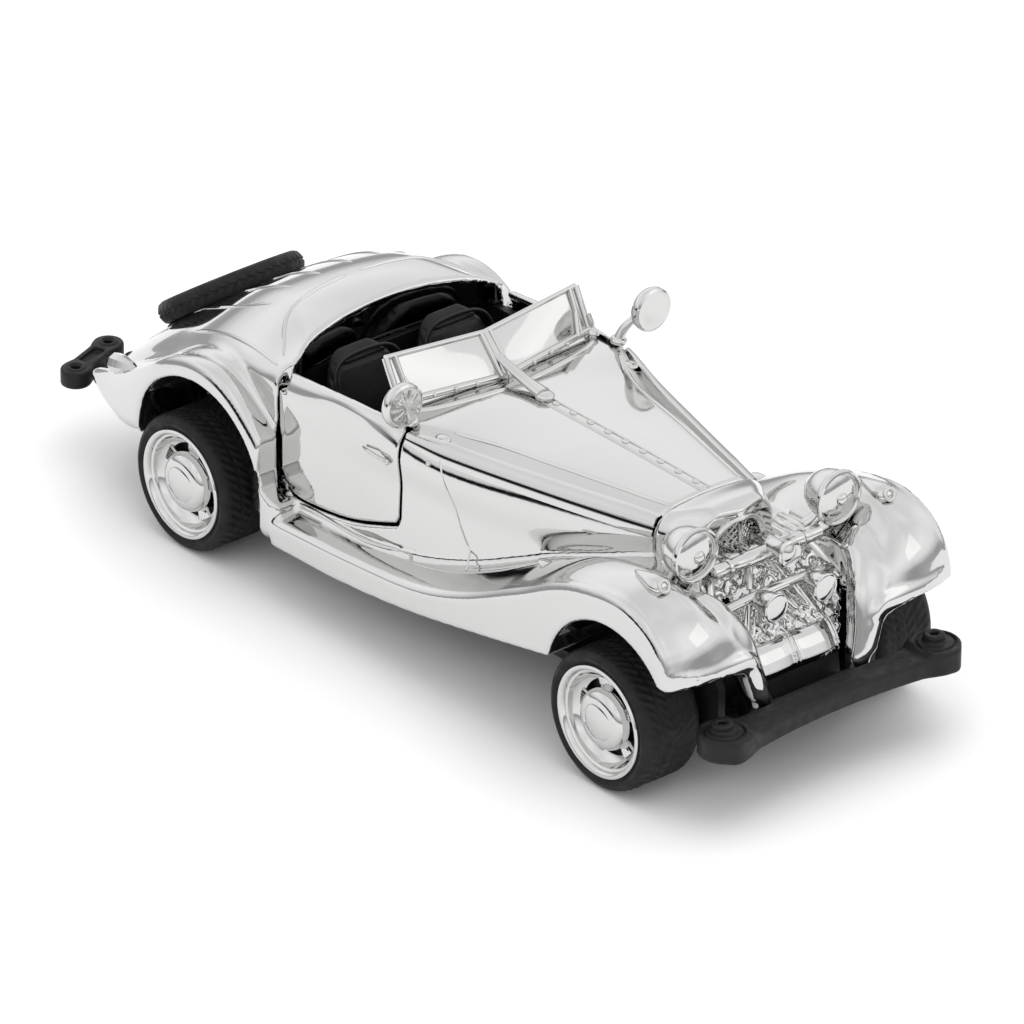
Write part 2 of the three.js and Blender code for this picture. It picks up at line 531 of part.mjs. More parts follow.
function rim() {
  const w = WHEEL_WIDTH;
  const boreEnd = AXLE_HALF + GAP - (WHEEL_OUT_X - w);
  return lathe(
    [[0, w + 0.3], [2, w + 0.1], [4.4, w - 1.1], [4.9, w - 2], [6.3, w - 1.4], [6.7, w], [RIM_R, w], [RIM_R, w - 1.3],
      [RIM_BARREL_R, w - 1.3], [RIM_BARREL_R, 0.8], [AXLE_BORE_R, 0.8], [AXLE_BORE_R, boreEnd], [0, boreEnd]],
    LATHE_X, ROUND,
  );
}

const axle = () => rod([-AXLE_HALF, 0, 0], [AXLE_HALF, 0, 0], AXLE_R, 14);

function spareTyre() {
  const { r, width: w } = SPARE;
  return lathe([[5.4, 0.4], [r - 1.6, 0], [r, 0.8], [r, w - 0.8], [r - 1.6, w], [5.4, w - 0.4]], LATHE_Z, ROUND, true);
}

function spareRim() {
  return lathe([[0, -0.1], [5.1, 0.1], [5.1, 1.6], [3.6, 1.2], [2, 2.2], [0, 2.6]], LATHE_Z, ROUND);
}

// ---------------------------------------------------------------- pull-back motor
const MODULE = 0.5;
const PINION_TEETH = 10;
const BARREL_TEETH = 18;
const CENTRE = (MODULE * (PINION_TEETH + BARREL_TEETH)) / 2;
const MESH_DEG = 38; // how far the barrel sits above the horizontal, seen from the rear axle
const BARREL_Y = AXLE_Y - CENTRE * Math.cos(THREE.MathUtils.degToRad(MESH_DEG));
const BARREL_Z = TYRE_R + CENTRE * Math.sin(THREE.MathUtils.degToRad(MESH_DEG));
const GEAR_X = [2.4, 4.4];
const CASE_X = [-5.6, 5];

// Gear blank with blunt teeth, its first tooth (or gap) pointing along an angle in the YZ plane.
function gear(teeth, faceDeg, toothAtFace, bore) {
  const pitch = (MODULE * teeth) / 2;
  const step = (2 * Math.PI) / teeth;
  const start = THREE.MathUtils.degToRad(faceDeg) + (toothAtFace ? 0 : step / 2);
  const outline = [];
  for (let t = 0; t < teeth; t++) {
    for (const [share, r] of [[-0.29, pitch - 0.62], [-0.1, pitch + 0.42], [0.1, pitch + 0.42], [0.29, pitch - 0.62]]) {
      const a = start + (t + share) * step;
      outline.push([r * Math.cos(a), r * Math.sin(a)]);
    }
  }
  return cut(prismX(outline, ...GEAR_X), rod([-9, 0, 0], [9, 0, 0], bore, 14));
}

const axleGear = () => gear(PINION_TEETH, 180 - MESH_DEG, true, AXLE_R + 0.1);
const springGear = () => join(gear(BARREL_TEETH, -MESH_DEG, false, 0.8), rod([-4.2, 0, 0], [4.6, 0, 0], 1, 12));

function mainspring() {
  const [turns, steps, thickness] = [3, 36, 0.35];
  const side = (offset) => Array.from({ length: steps + 1 }, (_, i) => {
    const a = (i / steps) * turns * 2 * Math.PI;
    const r = 1.7 + (2.1 * i) / steps + offset;
    return [r * Math.cos(a), r * Math.sin(a)];
  });
  return prismX([...side(0), ...side(thickness).reverse()], -3.8, 1.8);
}

function motorOutline(margin) {
  return [
    [28.2 + margin, 8 + margin], [44.4 - margin, 8 + margin], [44.4 - margin, 14 - margin],
    [40 - margin, 20 - margin], [28.2 + margin, 20 - margin],
  ];
}

// Openings for the axle, which drops in from below, and for the gears that reach through the floor of the case.
function motorOpenings() {
  const r = AXLE_BORE_R + 0.4;
  return [
    rod([-9, AXLE_Y, TYRE_R], [9, AXLE_Y, TYRE_R], r), block([-9, 9], [AXLE_Y - r, AXLE_Y + r], [0, TYRE_R]),
    block([GEAR_X[0] - 2 * GAP, GEAR_X[1] + 0.5], [BARREL_Y - 5.1, AXLE_Y + 3.3], [0, 9.6]),
  ];
}

function motorCase() {
  const outer = prismX(motorOutline(0), ...CASE_X);
  const room = prismX(motorOutline(1), CASE_X[0] + 1, CASE_X[1] + 1);
  return cut(outer, room, ...motorOpenings());
}

function motorCover() {
  const x0 = CASE_X[1] + GAP;
  return cut(prismX(motorOutline(0), x0, x0 + 1), ...motorOpenings());
}

// ---------------------------------------------------------------- assembly
const car = new THREE.Group();
car.position.y = -(FRONT_END_Y + REAR_END_Y) / 2;

function place(name, body, material, position = [0, 0, 0], parent = car) {
  const mesh = new THREE.Mesh(geometryOf(body), material);
  mesh.name = name;
  mesh.position.set(...position);
  parent.add(mesh);
  return mesh;
}

const SIDES = [["left", 1], ["right", -1]];
const handed = (body, side) => (side > 0 ? body : mirrored(body));

place("body_shell", bodyShell(), chrome());
place("radiator_shell", radiatorShell(), chrome());
place("radiator_grille", grille(), chrome());
place("front_frame_casting", frontFrame(), chrome());
place("front_apron", frontApron(), chrome());
place("lamp_bar", lampBar(), chrome());
place("centre_horn", horn(), chrome(), [0, -45.8, 27.6]);
place("windscreen", windscreen(), chrome());
place("interior_tub", interiorTub(), blackPlastic());
place("dashboard", dashboard(), blackPlastic());
const wheelMesh = place("steering_wheel", steeringWheel(), blackPlastic(), [-8.4, 12.6, 25.6]);
wheelMesh.rotation.x = THREE.MathUtils.degToRad(-62);
place("base_plate", basePlate(), blackPlastic());
place("front_bumper", frontBumper(), blackPlastic());

for (const [label, side] of SIDES) {
  place(`headlamp_bucket_${label}`, headlampBucket(), chrome(), [side * 11.9, -42.1, 29.5]);
  place(`headlamp_lens_${label}`, headlampLens(), chrome(), [side * 11.9, -42.1, 29.5]);
  place(`fog_lamp_${label}`, fogLamp(), chrome(), [side * 4, -48.6, 22.3]);
  place(`signal_lamp_${label}`, signalLamp(), chrome(), [side * 18.6, -43.4, 29.6]);
  place(`spot_mirror_${label}`, handed(spotMirror(), -side), chrome(), [side * 20.3, 0.8, 35.1]);
  place(`door_${label}`, handed(doorPanel(), side), chrome());
  place(`door_hinge_pin_${label}`, rod([0, 0, 0], [0, 0, 16], PIN_R, 10), steel(), [side * HINGE_X, HINGE_Y, 10.2]);
  place(`seat_${label}`, seat(), blackPlastic(), [side * 7.4, 0, 0]);
  place(`tail_lamp_${label}`, tailLamp(), chrome(), [side * 20, 61, 17.9]);
  place(`rear_bumper_${label}`, handed(rearBumper(), side), blackPlastic());
}

for (const [end, y] of [["front", -AXLE_Y], ["rear", AXLE_Y]]) {
  const wheelset = new THREE.Group();
  wheelset.position.set(0, y, TYRE_R);
  car.add(wheelset);
  place(`${end}_axle`, axle(), steel(), [0, 0, 0], wheelset);
  for (const [label, side] of SIDES) {
    const inner = side * (WHEEL_OUT_X - WHEEL_WIDTH);
    place(`tyre_${end}_${label}`, handed(tyre(), side), rubber(), [inner, 0, 0], wheelset);
    place(`wheel_rim_${end}_${label}`, handed(rim(), side), chrome(), [inner, 0, 0], wheelset);
  }
}

const spare = new THREE.Group();
spare.position.set(0, SPARE.y, SPARE.z);
spare.rotation.x = THREE.MathUtils.degToRad(-SPARE.tilt);
car.add(spare);
place("spare_tyre", spareTyre(), rubber(), [0, 0, -SPARE.width / 2], spare);
place("spare_wheel_disc", spareRim(), chrome(), [0, 0, -0.6], spare);

place("axle_gear", axleGear(), gearPlastic(), [0, AXLE_Y, TYRE_R]);
place("spring_gear", springGear(), gearPlastic(), [0, BARREL_Y, BARREL_Z]);
place("mainspring", mainspring(), spring(), [0, BARREL_Y, BARREL_Z]);
place("motor_case", motorCase(), gearPlastic());
place("motor_cover", motorCover(), gearPlastic());
SCREWS_Y.forEach((y, i) => place(`body_screw_${i === 0 ? "front" : "rear"}`, screw(9), steel(), [0, y, FLOOR_Z - GAP]));

const model = new THREE.Group();
model.add(car);
export default model;
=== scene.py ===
import math

import bmesh
import bpy
import numpy as np
from mathutils import Matrix, Vector


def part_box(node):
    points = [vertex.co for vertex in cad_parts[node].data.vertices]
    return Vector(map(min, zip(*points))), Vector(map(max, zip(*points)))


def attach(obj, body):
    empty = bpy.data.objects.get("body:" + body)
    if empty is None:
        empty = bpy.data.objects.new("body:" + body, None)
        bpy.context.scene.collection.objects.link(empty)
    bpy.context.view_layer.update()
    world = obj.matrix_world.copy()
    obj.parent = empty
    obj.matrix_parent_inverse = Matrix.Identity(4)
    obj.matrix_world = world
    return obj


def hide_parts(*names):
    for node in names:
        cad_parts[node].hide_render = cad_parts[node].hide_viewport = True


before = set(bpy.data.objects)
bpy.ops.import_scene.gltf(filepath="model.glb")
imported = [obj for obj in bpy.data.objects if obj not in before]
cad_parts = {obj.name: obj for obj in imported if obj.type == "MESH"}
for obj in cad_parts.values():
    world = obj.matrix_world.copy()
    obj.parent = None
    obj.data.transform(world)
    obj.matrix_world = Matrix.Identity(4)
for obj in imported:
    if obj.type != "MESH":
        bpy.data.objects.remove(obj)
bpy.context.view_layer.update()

# The shapes below are given in millimetres from the ground under the middle of the wheelbase:
# the front of the car faces -Y, its right-hand side is at -X and +Z is up.
MM = 0.001
TYRE_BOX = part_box("tyre_front_left"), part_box("tyre_rear_left")
FRONT_AXLE_Y = sum(corner.y for corner in TYRE_BOX[0]) / 2
REAR_AXLE_Y = sum(corner.y for corner in TYRE_BOX[1]) / 2
ORIGIN_Y = (FRONT_AXLE_Y + REAR_AXLE_Y) / 2
AXLE_Y = (REAR_AXLE_Y - FRONT_AXLE_Y) / 2 / MM
TYRE_R = (TYRE_BOX[0][1].z - TYRE_BOX[0][0].z) / 2 / MM
SIDES = (("left", 1), ("right", -1))


# ---------------------------------------------------------------- mesh helpers
# A part is a pair: its points, in car millimetres, and its faces.
def add_piece(name, part, material, replaces=None, sharp=None, body="body"):
    """Part as a smooth object that rides on a body, and may stand in for a CAD node."""
    mesh = bpy.data.meshes.new(name)
    row_points = np.asarray(part[0], float) * MM + (0, ORIGIN_Y, 0)
    mesh.from_pydata(row_points.tolist(), [], [list(map(int, face)) for face in part[1]])
    mesh.validate()
    mesh.polygons.foreach_set("use_smooth", [True] * len(mesh.polygons))
    if sharp is not None:
        mesh.set_sharp_from_angle(angle=math.radians(sharp))
    mesh.materials.append(material)
    obj = bpy.data.objects.new(name, mesh)
    bpy.context.scene.collection.objects.link(obj)
    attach(obj, body)
    if replaces:
        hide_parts(replaces)


def box_middle(node):
    """Middle of a CAD node's box, in car millimetres."""
    low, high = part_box(node)
    return ((low + high) / 2 - Vector((0, ORIGIN_Y, 0))) / MM


def joined(*parts):
    starts = np.cumsum([0] + [len(points) for points, _ in parts])
    faces = [[i + start for i in face] for (_, rows), start in zip(parts, starts) for face in rows]
    return np.concatenate([points for points, _ in parts]), faces


def moved(part, matrix):
    points, faces = part
    m = np.array(matrix)
    if matrix.determinant() < 0:
        faces = [face[::-1] for face in faces]
    return np.asarray(points, float) @ m[:3, :3].T + m[:3, 3], faces


def at(x, y, z):
    return Matrix.Translation((x, y, z))


def turn(degrees, axis):
    return Matrix.Rotation(math.radians(degrees), 4, axis)


def flip(side):
    """Mirror from the left side of the car to the right when side is -1."""
    return Matrix.Diagonal((side, 1, 1, 1))


def mirrored(part):
    return moved(part, flip(-1))


def spline(points, steps=8):
    """Smooth curve through a few points (Catmull-Rom)."""
    p = np.asarray(points, float)
    padded = np.concatenate([p[:1], p, p[-1:]])
    t = np.linspace(0, 1, steps, endpoint=False)[:, None]
    rows = []
    for a, b, c, d in zip(padded, padded[1:], padded[2:], padded[3:]):
        bend = 2 * a - 5 * b + 4 * c - d
        twist = 3 * b - a - 3 * c + d
        rows.append(b + 0.5 * ((c - a) * t + bend * t**2 + twist * t**3))
    return np.concatenate(rows + [p[-1:]])


def loft(rings, closed=False):
    """Solid through rings of points, closed on its first ring or capped. A ring of one point is a tip."""
    sides = max(map(len, rings))
    starts = np.cumsum([0] + [len(ring) for ring in rings])
    ids = [[start + i * (len(ring) > 1) for i in range(sides)] for start, ring in zip(starts, rings)]
    faces = []
    for low, high in zip(ids, ids[1:] + ids[:1] if closed else ids[1:]):
        for i in range(sides):
            corners = [low[i - 1], low[i], high[i], high[i - 1]]
            face = [v for k, v in enumerate(corners) if v != corners[k - 1]]
            if len(face) > 2:
                faces.append(face)
    if not closed:
        faces += [ring for ring in (ids[0][::-1], ids[-1]) if ring[0] != ring[1]]
    return np.concatenate(rings), faces


def circle(sides):
    """Unit circle's points about Z."""
    angle = np.linspace(0, 2 * math.pi, sides, endpoint=False)
    return np.stack([np.cos(angle), np.sin(angle), 0 * angle], axis=1)


def lathe(profile, sides=64, axis="-Y"):
    """Solid of a (radius, height) profile turned about an axis. Its ends lie on the axis, or it closes."""
    rings = [r * circle(sides) + (0, 0, h) if r > 0 else [(0, 0, h)] for r, h in profile]
    turned = {"Z": turn(0, "X"), "-Y": turn(90, "X"), "X": turn(90, "Y")}[axis]
    return moved(loft(rings, profile[0][0] > 0), turned)


def tube(path, radius, sides=10, flat=1.0):
    """Capped tube along a path. radius is one value or one per point, and flat squashes it in height."""
    path = np.asarray(path, float)
    along = np.gradient(path, axis=0)
    along /= np.linalg.norm(along, axis=1)[:, None]
    side = np.cross(along, (0, 0, 1))
    side /= np.maximum(np.linalg.norm(side, axis=1), 1e-9)[:, None]
    top = flat * np.cross(side, along)
    x, y, _ = circle(sides).T[:, :, None]
    radii = np.broadcast_to(radius, len(path))
    return loft([p + r * (x * s + y * t) for p, r, s, t in zip(path, radii, side, top)])


def ball(center, radii, sides=32):
    angle = np.linspace(0, math.pi, sides // 2 + 1)[1:-1]
    profile = [(0, -1), *zip(np.sin(angle), -np.cos(angle)), (0, 1)]
    return moved(lathe(profile, sides, "Z"), at(*center) @ Matrix.Diagonal((*radii, 1)))


# ---------------------------------------------------------------- shape fields
# A field is a function of x, y and z that is below zero inside a solid, about in millimetres.
def track(knots, soft=0.8):
    """Smooth value along one axis through (place, value) knots, straight beyond its ends."""
    t, v = np.array(knots, float).T
    secant = np.diff(v) / np.diff(t)
    slope = np.concatenate([secant[:1], (secant[1:] + secant[:-1]) / 2, secant[-1:]])
    slope[1:-1][secant[1:] * secant[:-1] <= 0] = 0
    step = 0.05
    dense = np.arange(t[0] - 8, t[-1] + 8, step)
    inside = np.clip(dense, t[0], t[-1])
    i = np.clip(np.searchsorted(t, inside, side="right") - 1, 0, len(t) - 2)
    width = t[i + 1] - t[i]
    s = (inside - t[i]) / width
    value = (1 + 2 * s) * (1 - s) ** 2 * v[i] + s**2 * (3 - 2 * s) * v[i + 1]
    value += s * (1 - s) ** 2 * width * slope[i] - s**2 * (1 - s) * width * slope[i + 1]
    value += np.minimum(dense - t[0], 0) * slope[0] + np.maximum(dense - t[-1], 0) * slope[-1]
    reach = int(3 * soft / step)
    kernel = np.exp(-0.5 * (np.arange(-reach, reach + 1) * step / soft) ** 2)
    before = 2 * value[0] - value[reach:0:-1]
    beyond = 2 * value[-1] - value[-2 : -reach - 2 : -1]
    value = np.convolve(np.concatenate([before, value, beyond]), kernel / kernel.sum(), "valid")
    return lambda place: np.interp(place, dense, value)


def outline(points, low, high, step=0.2):
    """Signed distance to a closed outline in a plane, read back from a fine grid of its values."""
    u = np.arange(low[0], high[0] + step, step)
    v = np.arange(low[1], high[1] + step, step)
    grid_u, grid_v = np.meshgrid(u, v, indexing="ij")
    near = np.full(grid_u.shape, 1e9)
    inside = np.zeros(grid_u.shape, bool)
    p = np.asarray(points, float)
    for a, b in zip(p, np.roll(p, -1, axis=0)):
        du, dv = b - a
        length = max(du * du + dv * dv, 1e-12)
        s = np.clip(((grid_u - a[0]) * du + (grid_v - a[1]) * dv) / length, 0, 1)
        near = np.minimum(near, (grid_u - a[0] - s * du) ** 2 + (grid_v - a[1] - s * dv) ** 2)
        if dv != 0:
            crossing = (a[1] > grid_v) != (b[1] > grid_v)
            inside ^= crossing & (grid_u < a[0] + (grid_v - a[1]) / dv * du)
    table = np.where(inside, -1, 1) * np.sqrt(near)

    def distance(first, second):
        s = np.clip((first - low[0]) / step, 0, len(u) - 1.001)
        t = np.clip((second - low[1]) / step, 0, len(v) - 1.001)
        i = s.astype(int)
        j = t.astype(int)
        s = s - i
        t = t - j
        front = table[i, j] * (1 - t) + table[i, j + 1] * t
        back = table[i + 1, j] * (1 - t) + table[i + 1, j + 1] * t
        return front * (1 - s) + back * s

    return distance


def both(a, b, r=0.3):
    """Overlap of two fields, with its edges rounded."""
    return np.minimum(np.maximum(a, b), -r) + np.hypot(np.maximum(a + r, 0), np.maximum(b + r, 0))


def either(a, b, r=0.3):
    """Join of two fields, with a fillet."""
    return -both(-a, -b, r)


def without(a, b, r=0.3):
    return both(a, -b, r)


def ease(t):
    t = np.clip(t, 0, 1)
    return t * t * (3 - 2 * t)


def box_field(x, y, z, low, high, r=0.3):
    fx = np.maximum(low[0] - x, x - high[0])
    fy = np.maximum(low[1] - y, y - high[1])
    fz = np.maximum(low[2] - z, z - high[2])
    return both(both(fx, fy, r), fz, r)


def capsule(x, y, z, path):
    """Round bar through [x, y, z, radius] points."""
    field = None
    for (ax, ay, az, ar), (bx, by, bz, br) in zip(path, path[1:]):
        dx, dy, dz = bx - ax, by - ay, bz - az
        t = ((x - ax) * dx + (y - ay) * dy + (z - az) * dz) / (dx * dx + dy * dy + dz * dz)
        t = np.clip(t, 0, 1)
        gap = np.sqrt((x - ax - t * dx) ** 2 + (y - ay - t * dy) ** 2 + (z - az - t * dz) ** 2)
        part = gap - (ar + t * (br - ar))
        field = part if field is None else np.minimum(field, part)
    return field


def newton(field, points, rounds=3):
    """Points moved onto the surface of a field."""
    p = points.copy()
    h = 0.02
    for _ in range(rounds):
        slopes = [field(*(p + d).T) - field(*(p - d).T) for d in h * np.eye(3)]
        grad = np.stack(slopes, axis=1) / (2 * h)
        size = np.maximum((grad**2).sum(axis=1), 0.05)
        p -= np.clip(field(*p.T) / size, -0.5, 0.5)[:, None] * grad
    return p


def grid_line(start, *stretches):
    """Grid positions from start on. The stretches are pairs of a step and an end."""
    rows = []
    for step, end in zip(stretches[::2], stretches[1::2]):
        rows.append(np.arange(start, end - 1e-6, step))
        start = end
    return np.concatenate(rows + [[start]])


def skin(field, *spans, rounds=3):
    """Closed quad mesh on the surface of a field, by surface nets on grid lines along x, y and z."""
    lines = [grid_line(*span) for span in spans]
    shape = [len(line) for line in lines]
    grid = np.meshgrid(*lines, indexing="ij", sparse=True)
    values = np.broadcast_to(field(*grid), shape).astype(np.float32)
    for axis in range(3):
        layers = np.moveaxis(values, axis, 0)
        layers[[0, -1]] = np.maximum(layers[[0, -1]], 0.01)
    solid = values < 0
    cells = np.array(shape) - 1
    unit = np.eye(3, dtype=int)
    quads = []
    places = []
    for axis in range(3):
        u, v = [unit[k] for k in range(3) if k != axis]
        low = np.argwhere(np.diff(solid, axis=axis))
        high = low + unit[axis]
        a = values[tuple(low.T)]
        share = (a / (a - values[tuple(high.T)]))[:, None]
        ends = [np.stack([line[i] for line, i in zip(lines, corner.T)], axis=1) for corner in (low, high)]
        places.append(ends[0] * (1 - share) + ends[1] * share)
        around = [low - u - v, low - v, low, low - u]
        ring = np.stack([np.ravel_multi_index(cell.T, cells) for cell in around], axis=1)
        turned = solid[tuple(low.T)] == (axis == 1)
        ring[turned] = ring[turned][:, ::-1]
        quads.append(ring)
    used, faces = np.unique(np.concatenate(quads), return_inverse=True)
    faces = faces.reshape(-1, 4)
    count = np.bincount(faces.ravel())
    spread = np.repeat(np.concatenate(places), 4, axis=0)
    points = [np.bincount(faces.ravel(), column) / count for column in spread.T]
    return newton(field, np.stack(points, axis=1), rounds), faces


# ---------------------------------------------------------------- body shape
# Hull stations along Y: height on the centre line, then (half width, height) of the bonnet edge, the
# shoulder, the side and the foot.
HULL = (
    (-33, 30.1, (5.6, 29.8), (7.9, 27.9), (8.8, 20), (9.5, 12)),
    (-18, 30.4, (9.2, 30.0), (12.1, 28.1), (13.2, 20), (14.2, 10)),
    (-3, 30.5, (13.1, 30.1), (16.3, 28.7), (17.5, 21), (18.4, 8)),
    (2.6, 30.6, (16.6, 30.5), (18.2, 29.5), (18.8, 22), (19.3, 7.6)),
    (14, 30.8, (18.4, 30.2), (18.85, 29.0), (19.3, 22), (19.6, 7.2)),
    (25.4, 33.1, (15.8, 31.2), (18.8, 28.4), (19.5, 22), (19.8, 7.2)),
    (33, 34.0, (14.6, 32.2), (18.4, 28.4), (19.2, 22), (19.4, 8)),
    (42, 31.6, (12.6, 30.4), (16.8, 26.8), (18.0, 20), (18.0, 9)),
    (50, 26.6, (11.0, 26.0), (15.6, 22.8), (16.8, 17), (16.8, 9.4)),
    (58, 21.7, (10.0, 21.3), (14.6, 18.4), (15.6, 14.4), (15.4, 10.2)),
    (66.4, 14.6, (7.6, 14.4), (11.8, 13.2), (12.6, 12.2), (12.6, 11)),
)
BONNET_FRONT_Y = -33.1
DOOR_FRONT_Y = 2.8
HINGE = (18.6, 24.5)
KNUCKLE_R = 0.95
SKIN_T = 1.3
OUT_X = 23.5  # outer faces of the wings
TAIL_Y = (44, 68)
TAIL_TAPER = 5

hull_top = track([(s[0], s[1]) for s in HULL], 2)
hull_part = {
    name: (track([(s[0], s[k][0]) for s in HULL], 2), track([(s[0], s[k][1]) for s in HULL], 2))
    for k, name in ((2, "edge"), (3, "shoulder"), (4, "side"), (5, "foot"))
}
top_rounding = track(
    [(-33, 0.45), (-6, 0.5), (2, 0.35), (24.4, 0.4), (28, 2.8), (40, 4.2), (58, 3.4), (67, 2)],
)


def half_width(y, z):
    """Half width of the hull at a height."""
    names = ("foot", "side", "shoulder", "edge")
    widths = [hull_part[n][0](y) for n in names]
    heights = [hull_part[n][1](y) for n in names]
    secants = [(widths[i + 1] - widths[i]) / (heights[i + 1] - heights[i]) for i in range(3)]
    low_slope = secants[0] * 0.6 + secants[1] * 0.4
    high_slope = secants[1] * 0.55 + secants[2] * 0.45
    slopes = [secants[0], low_slope, high_slope, secants[2]]
    value = widths[3] + (z - heights[3]) * slopes[3]
    for i in (2, 1, 0):
        span = heights[i + 1] - heights[i]
        s = np.clip((z - heights[i]) / span, 0, 1)
        part = (1 + 2 * s) * (1 - s) ** 2 * widths[i] + s**2 * (3 - 2 * s) * widths[i + 1]
        part = part + s * (1 - s) ** 2 * span * slopes[i] - s**2 * (1 - s) * span * slopes[i + 1]
        value = np.where(z < heights[i + 1], part, value)
    return np.where(z < heights[0], widths[0] + (z - heights[0]) * slopes[0], value)


def hull(x, y, z):
    """Bonnet, cowl, flanks, deck and tail, without wings or openings."""
    w = np.abs(x)
    edge_w, edge_z = hull_part["edge"]
    crown = hull_top(y) - (hull_top(y) - edge_z(y)) * (w / edge_w(y)) ** 2
    top = (z - crown) * 0.97
    side = (w - half_width(y, z)) * 0.93
    return both(top, side, top_rounding(y))


# Side view of the wings and the running board, as (y, z).
FRONT_CREST = (
    (-53.3, 17.6), (-53.1, 21.0), (-51.6, 24.0), (-48.6, 26.6), (-43.5, 28.2), (-37, 27.6), (-31, 25.8),
    (-23.5, 22.0), (-14, 17.2), (-5, 14.2), (6, 12.8), (22, 12.0),
)
front_crest = outline(
    [(-53.6, 2), *spline(FRONT_CREST, 16), (40, 11.6), (40, 2)], (-60, 4), (34, 34),
)
outer_drop = track([(-56, 1.4), (-43, 1.5), (-30, 1.7), (-14, 1.3), (6, 0.6), (22, 0.6)])
inner_drop = track(
    [
        (-56, 0.4), (-52.5, 0.8), (-49.5, 2.4), (-44, 4.1), (-38, 3.6), (-31, 2.5), (-23, 1.2), (-14, 0.2),
        (22, 0),
    ],
)
sill_foot = track([(-40, 16), (-29.5, 14), (-18, 11.8), (-4, 9.4), (8, 8.2), (22, 7.8), (70, 7.8)])
FRONT_WELL = (-41.5, 11.6, 11.15)  # y, z and radius
REAR_WELL = (36.95, 12.1, 12.55)
BOARD_END_Y = 22.2
# Inner and outer edge of a wing's front face, which narrows down to its foot, as (z, x).
claw_inner = track(
    [
        (8, 7.0), (9.6, 7.2), (11, 7.6), (12.6, 8.3), (14.2, 8.9), (16.8, 9.6), (19.9, 11.1), (22.4, 12.7),
        (25.2, 13.8), (27, 15.4), (30, 16.6),
    ],
    0.6,
)
claw_outer = track(
    [
        (8, 8.2), (9.8, 8.9), (11.5, 9.6), (13.9, 9.95), (15.4, 10.4), (16.9, 11.3), (17.6, 12.8),
        (18.2, 14.6), (18.8, 17),
    ],
    0.4,
)


def claw_wall(y, z):
    """Distance from the middle of the car to the concave inner wall at a front wing's nose."""
    back = 8.6 + 1.8 * ease((z - 10) / 4)
    return back + (claw_inner(z) - back) * np.clip((-46 - y) / 6.4, 0, 1.1) ** 1.7


def well(y, z, circle):
    """Side view of a wheel opening: a round arch, open below."""
    cy, cz, r = circle
    arch = np.hypot(y - cy, z - cz) - r
    return np.where(z < cz, np.abs(y - cy) - r, arch)


def front_wing(x, y, z):
    """Front wing and running board of one side, still without its wheel opening."""
    w = np.abs(x)
    outside = np.clip((w - 17.2) / 5.7, 0, 1.4)
    inside = np.clip((17.2 - w) / 6.4, 0, 1)
    rim = np.exp(-(((w - 22.9) / 0.5) ** 2)) * 0.3 * ease((y + 56) / 10) * ease((-26 - y) / 10)
    drop = outer_drop(y) * outside**2 + inner_drop(y) * ease(inside) - rim
    shell = front_crest(y, z) + drop * 0.92
    flare = 0.5 * ease((21.5 - z) / 4) * ease((-44 - y) / 6)
    shell = shell - flare
    inner_x = np.where(y < -46, claw_wall(y, z), 10.4 - 8.2 * ease((y + 44.5) / 8))
    field = both(shell, w - OUT_X, 0.8)
    field = both(field, inner_x - w, 0.3)
    board_foot = np.where(y < -46, 18.2 + 0 * z, np.where(y < -31, 15.0, 6.0)) - z
    field = both(field, y - BOARD_END_Y, 0.25)
    return both(field, board_foot, 0.3)


# The leg's axis and size, each against the height.
leg_x = track(
    [
        (9.6, 7.6), (11.0, 7.8), (12.8, 8.3), (15.4, 9.2), (17.5, 9.7), (19.8, 10.1), (22.0, 10.8),
        (23.9, 11.6), (26, 12.8),
    ],
)
leg_y = track(
    [
        (9.6, -52.3), (12.8, -51.8), (15.4, -51.4), (17.5, -50.9), (19.8, -50.3), (22.0, -49.4),
        (23.9, -48.1), (26, -46.0),
    ],
)
leg_size = track(
    [
        (9.6, 0.5), (10.0, 1.1), (11.0, 1.45), (12.8, 1.7), (15.4, 1.9), (17.5, 2.0), (19.8, 1.95),
        (22.0, 1.75), (24, 1.3), (26, 0.5),
    ],
    0.5,
)


def claw(x, y, z):
    """Rounded leg at the inner front of a wing. It narrows down to a foot on the bumper."""
    w = np.abs(x)
    leg = np.hypot(w - leg_x(z), y - leg_y(z)) - leg_size(z)
    leg = both(leg * 0.9, np.abs(z - 17.6) - 8.0, 0.5)
    face = both(both(claw_inner(z) - w, w - claw_outer(z), 0.15), both(-53.2 - y, y + 51.4, 0.2), 0.1)
    face = both(face, np.abs(z - 16.1) - 3.0, 0.2)
    return either(leg, face, 1.2)


REAR_CREST = (
    (20.9, 8.0), (21.7, 14), (25.2, 21), (30.6, 25.9), (36.4, 27.5), (42.5, 26), (50, 21.3), (58, 16.9),
    (64.2, 14.2),
)
REAR_FOOT = ((65.0, 13.2), (61.5, 11.4), (57, 10.8), (53.4, 11.2), (50.0, 12.4))
rear_crest = outline([*spline(REAR_CREST, 16), *spline(REAR_FOOT, 8), (46, 8.0)], (14, 4), (72, 34))


def rear_wing(x, y, z):
    w = np.abs(x) + TAIL_TAPER * ease((y - TAIL_Y[0]) / (TAIL_Y[1] - TAIL_Y[0]))
    ridge = 0.5 * np.exp(-(((w - 20.3) / 0.75) ** 2)) * ease((y - 24) / 6)
    lip = 0.9 * np.clip((w - 22.4) / 1.1, 0, 2) ** 2
    inner = 0.5 * np.clip((19 - w) / 6, 0, 1)
    shell = rear_crest(y, z) + ridge + lip + inner
    return both(both(shell, w - OUT_X, 0.8), 8.0 - np.abs(x), 0.3)


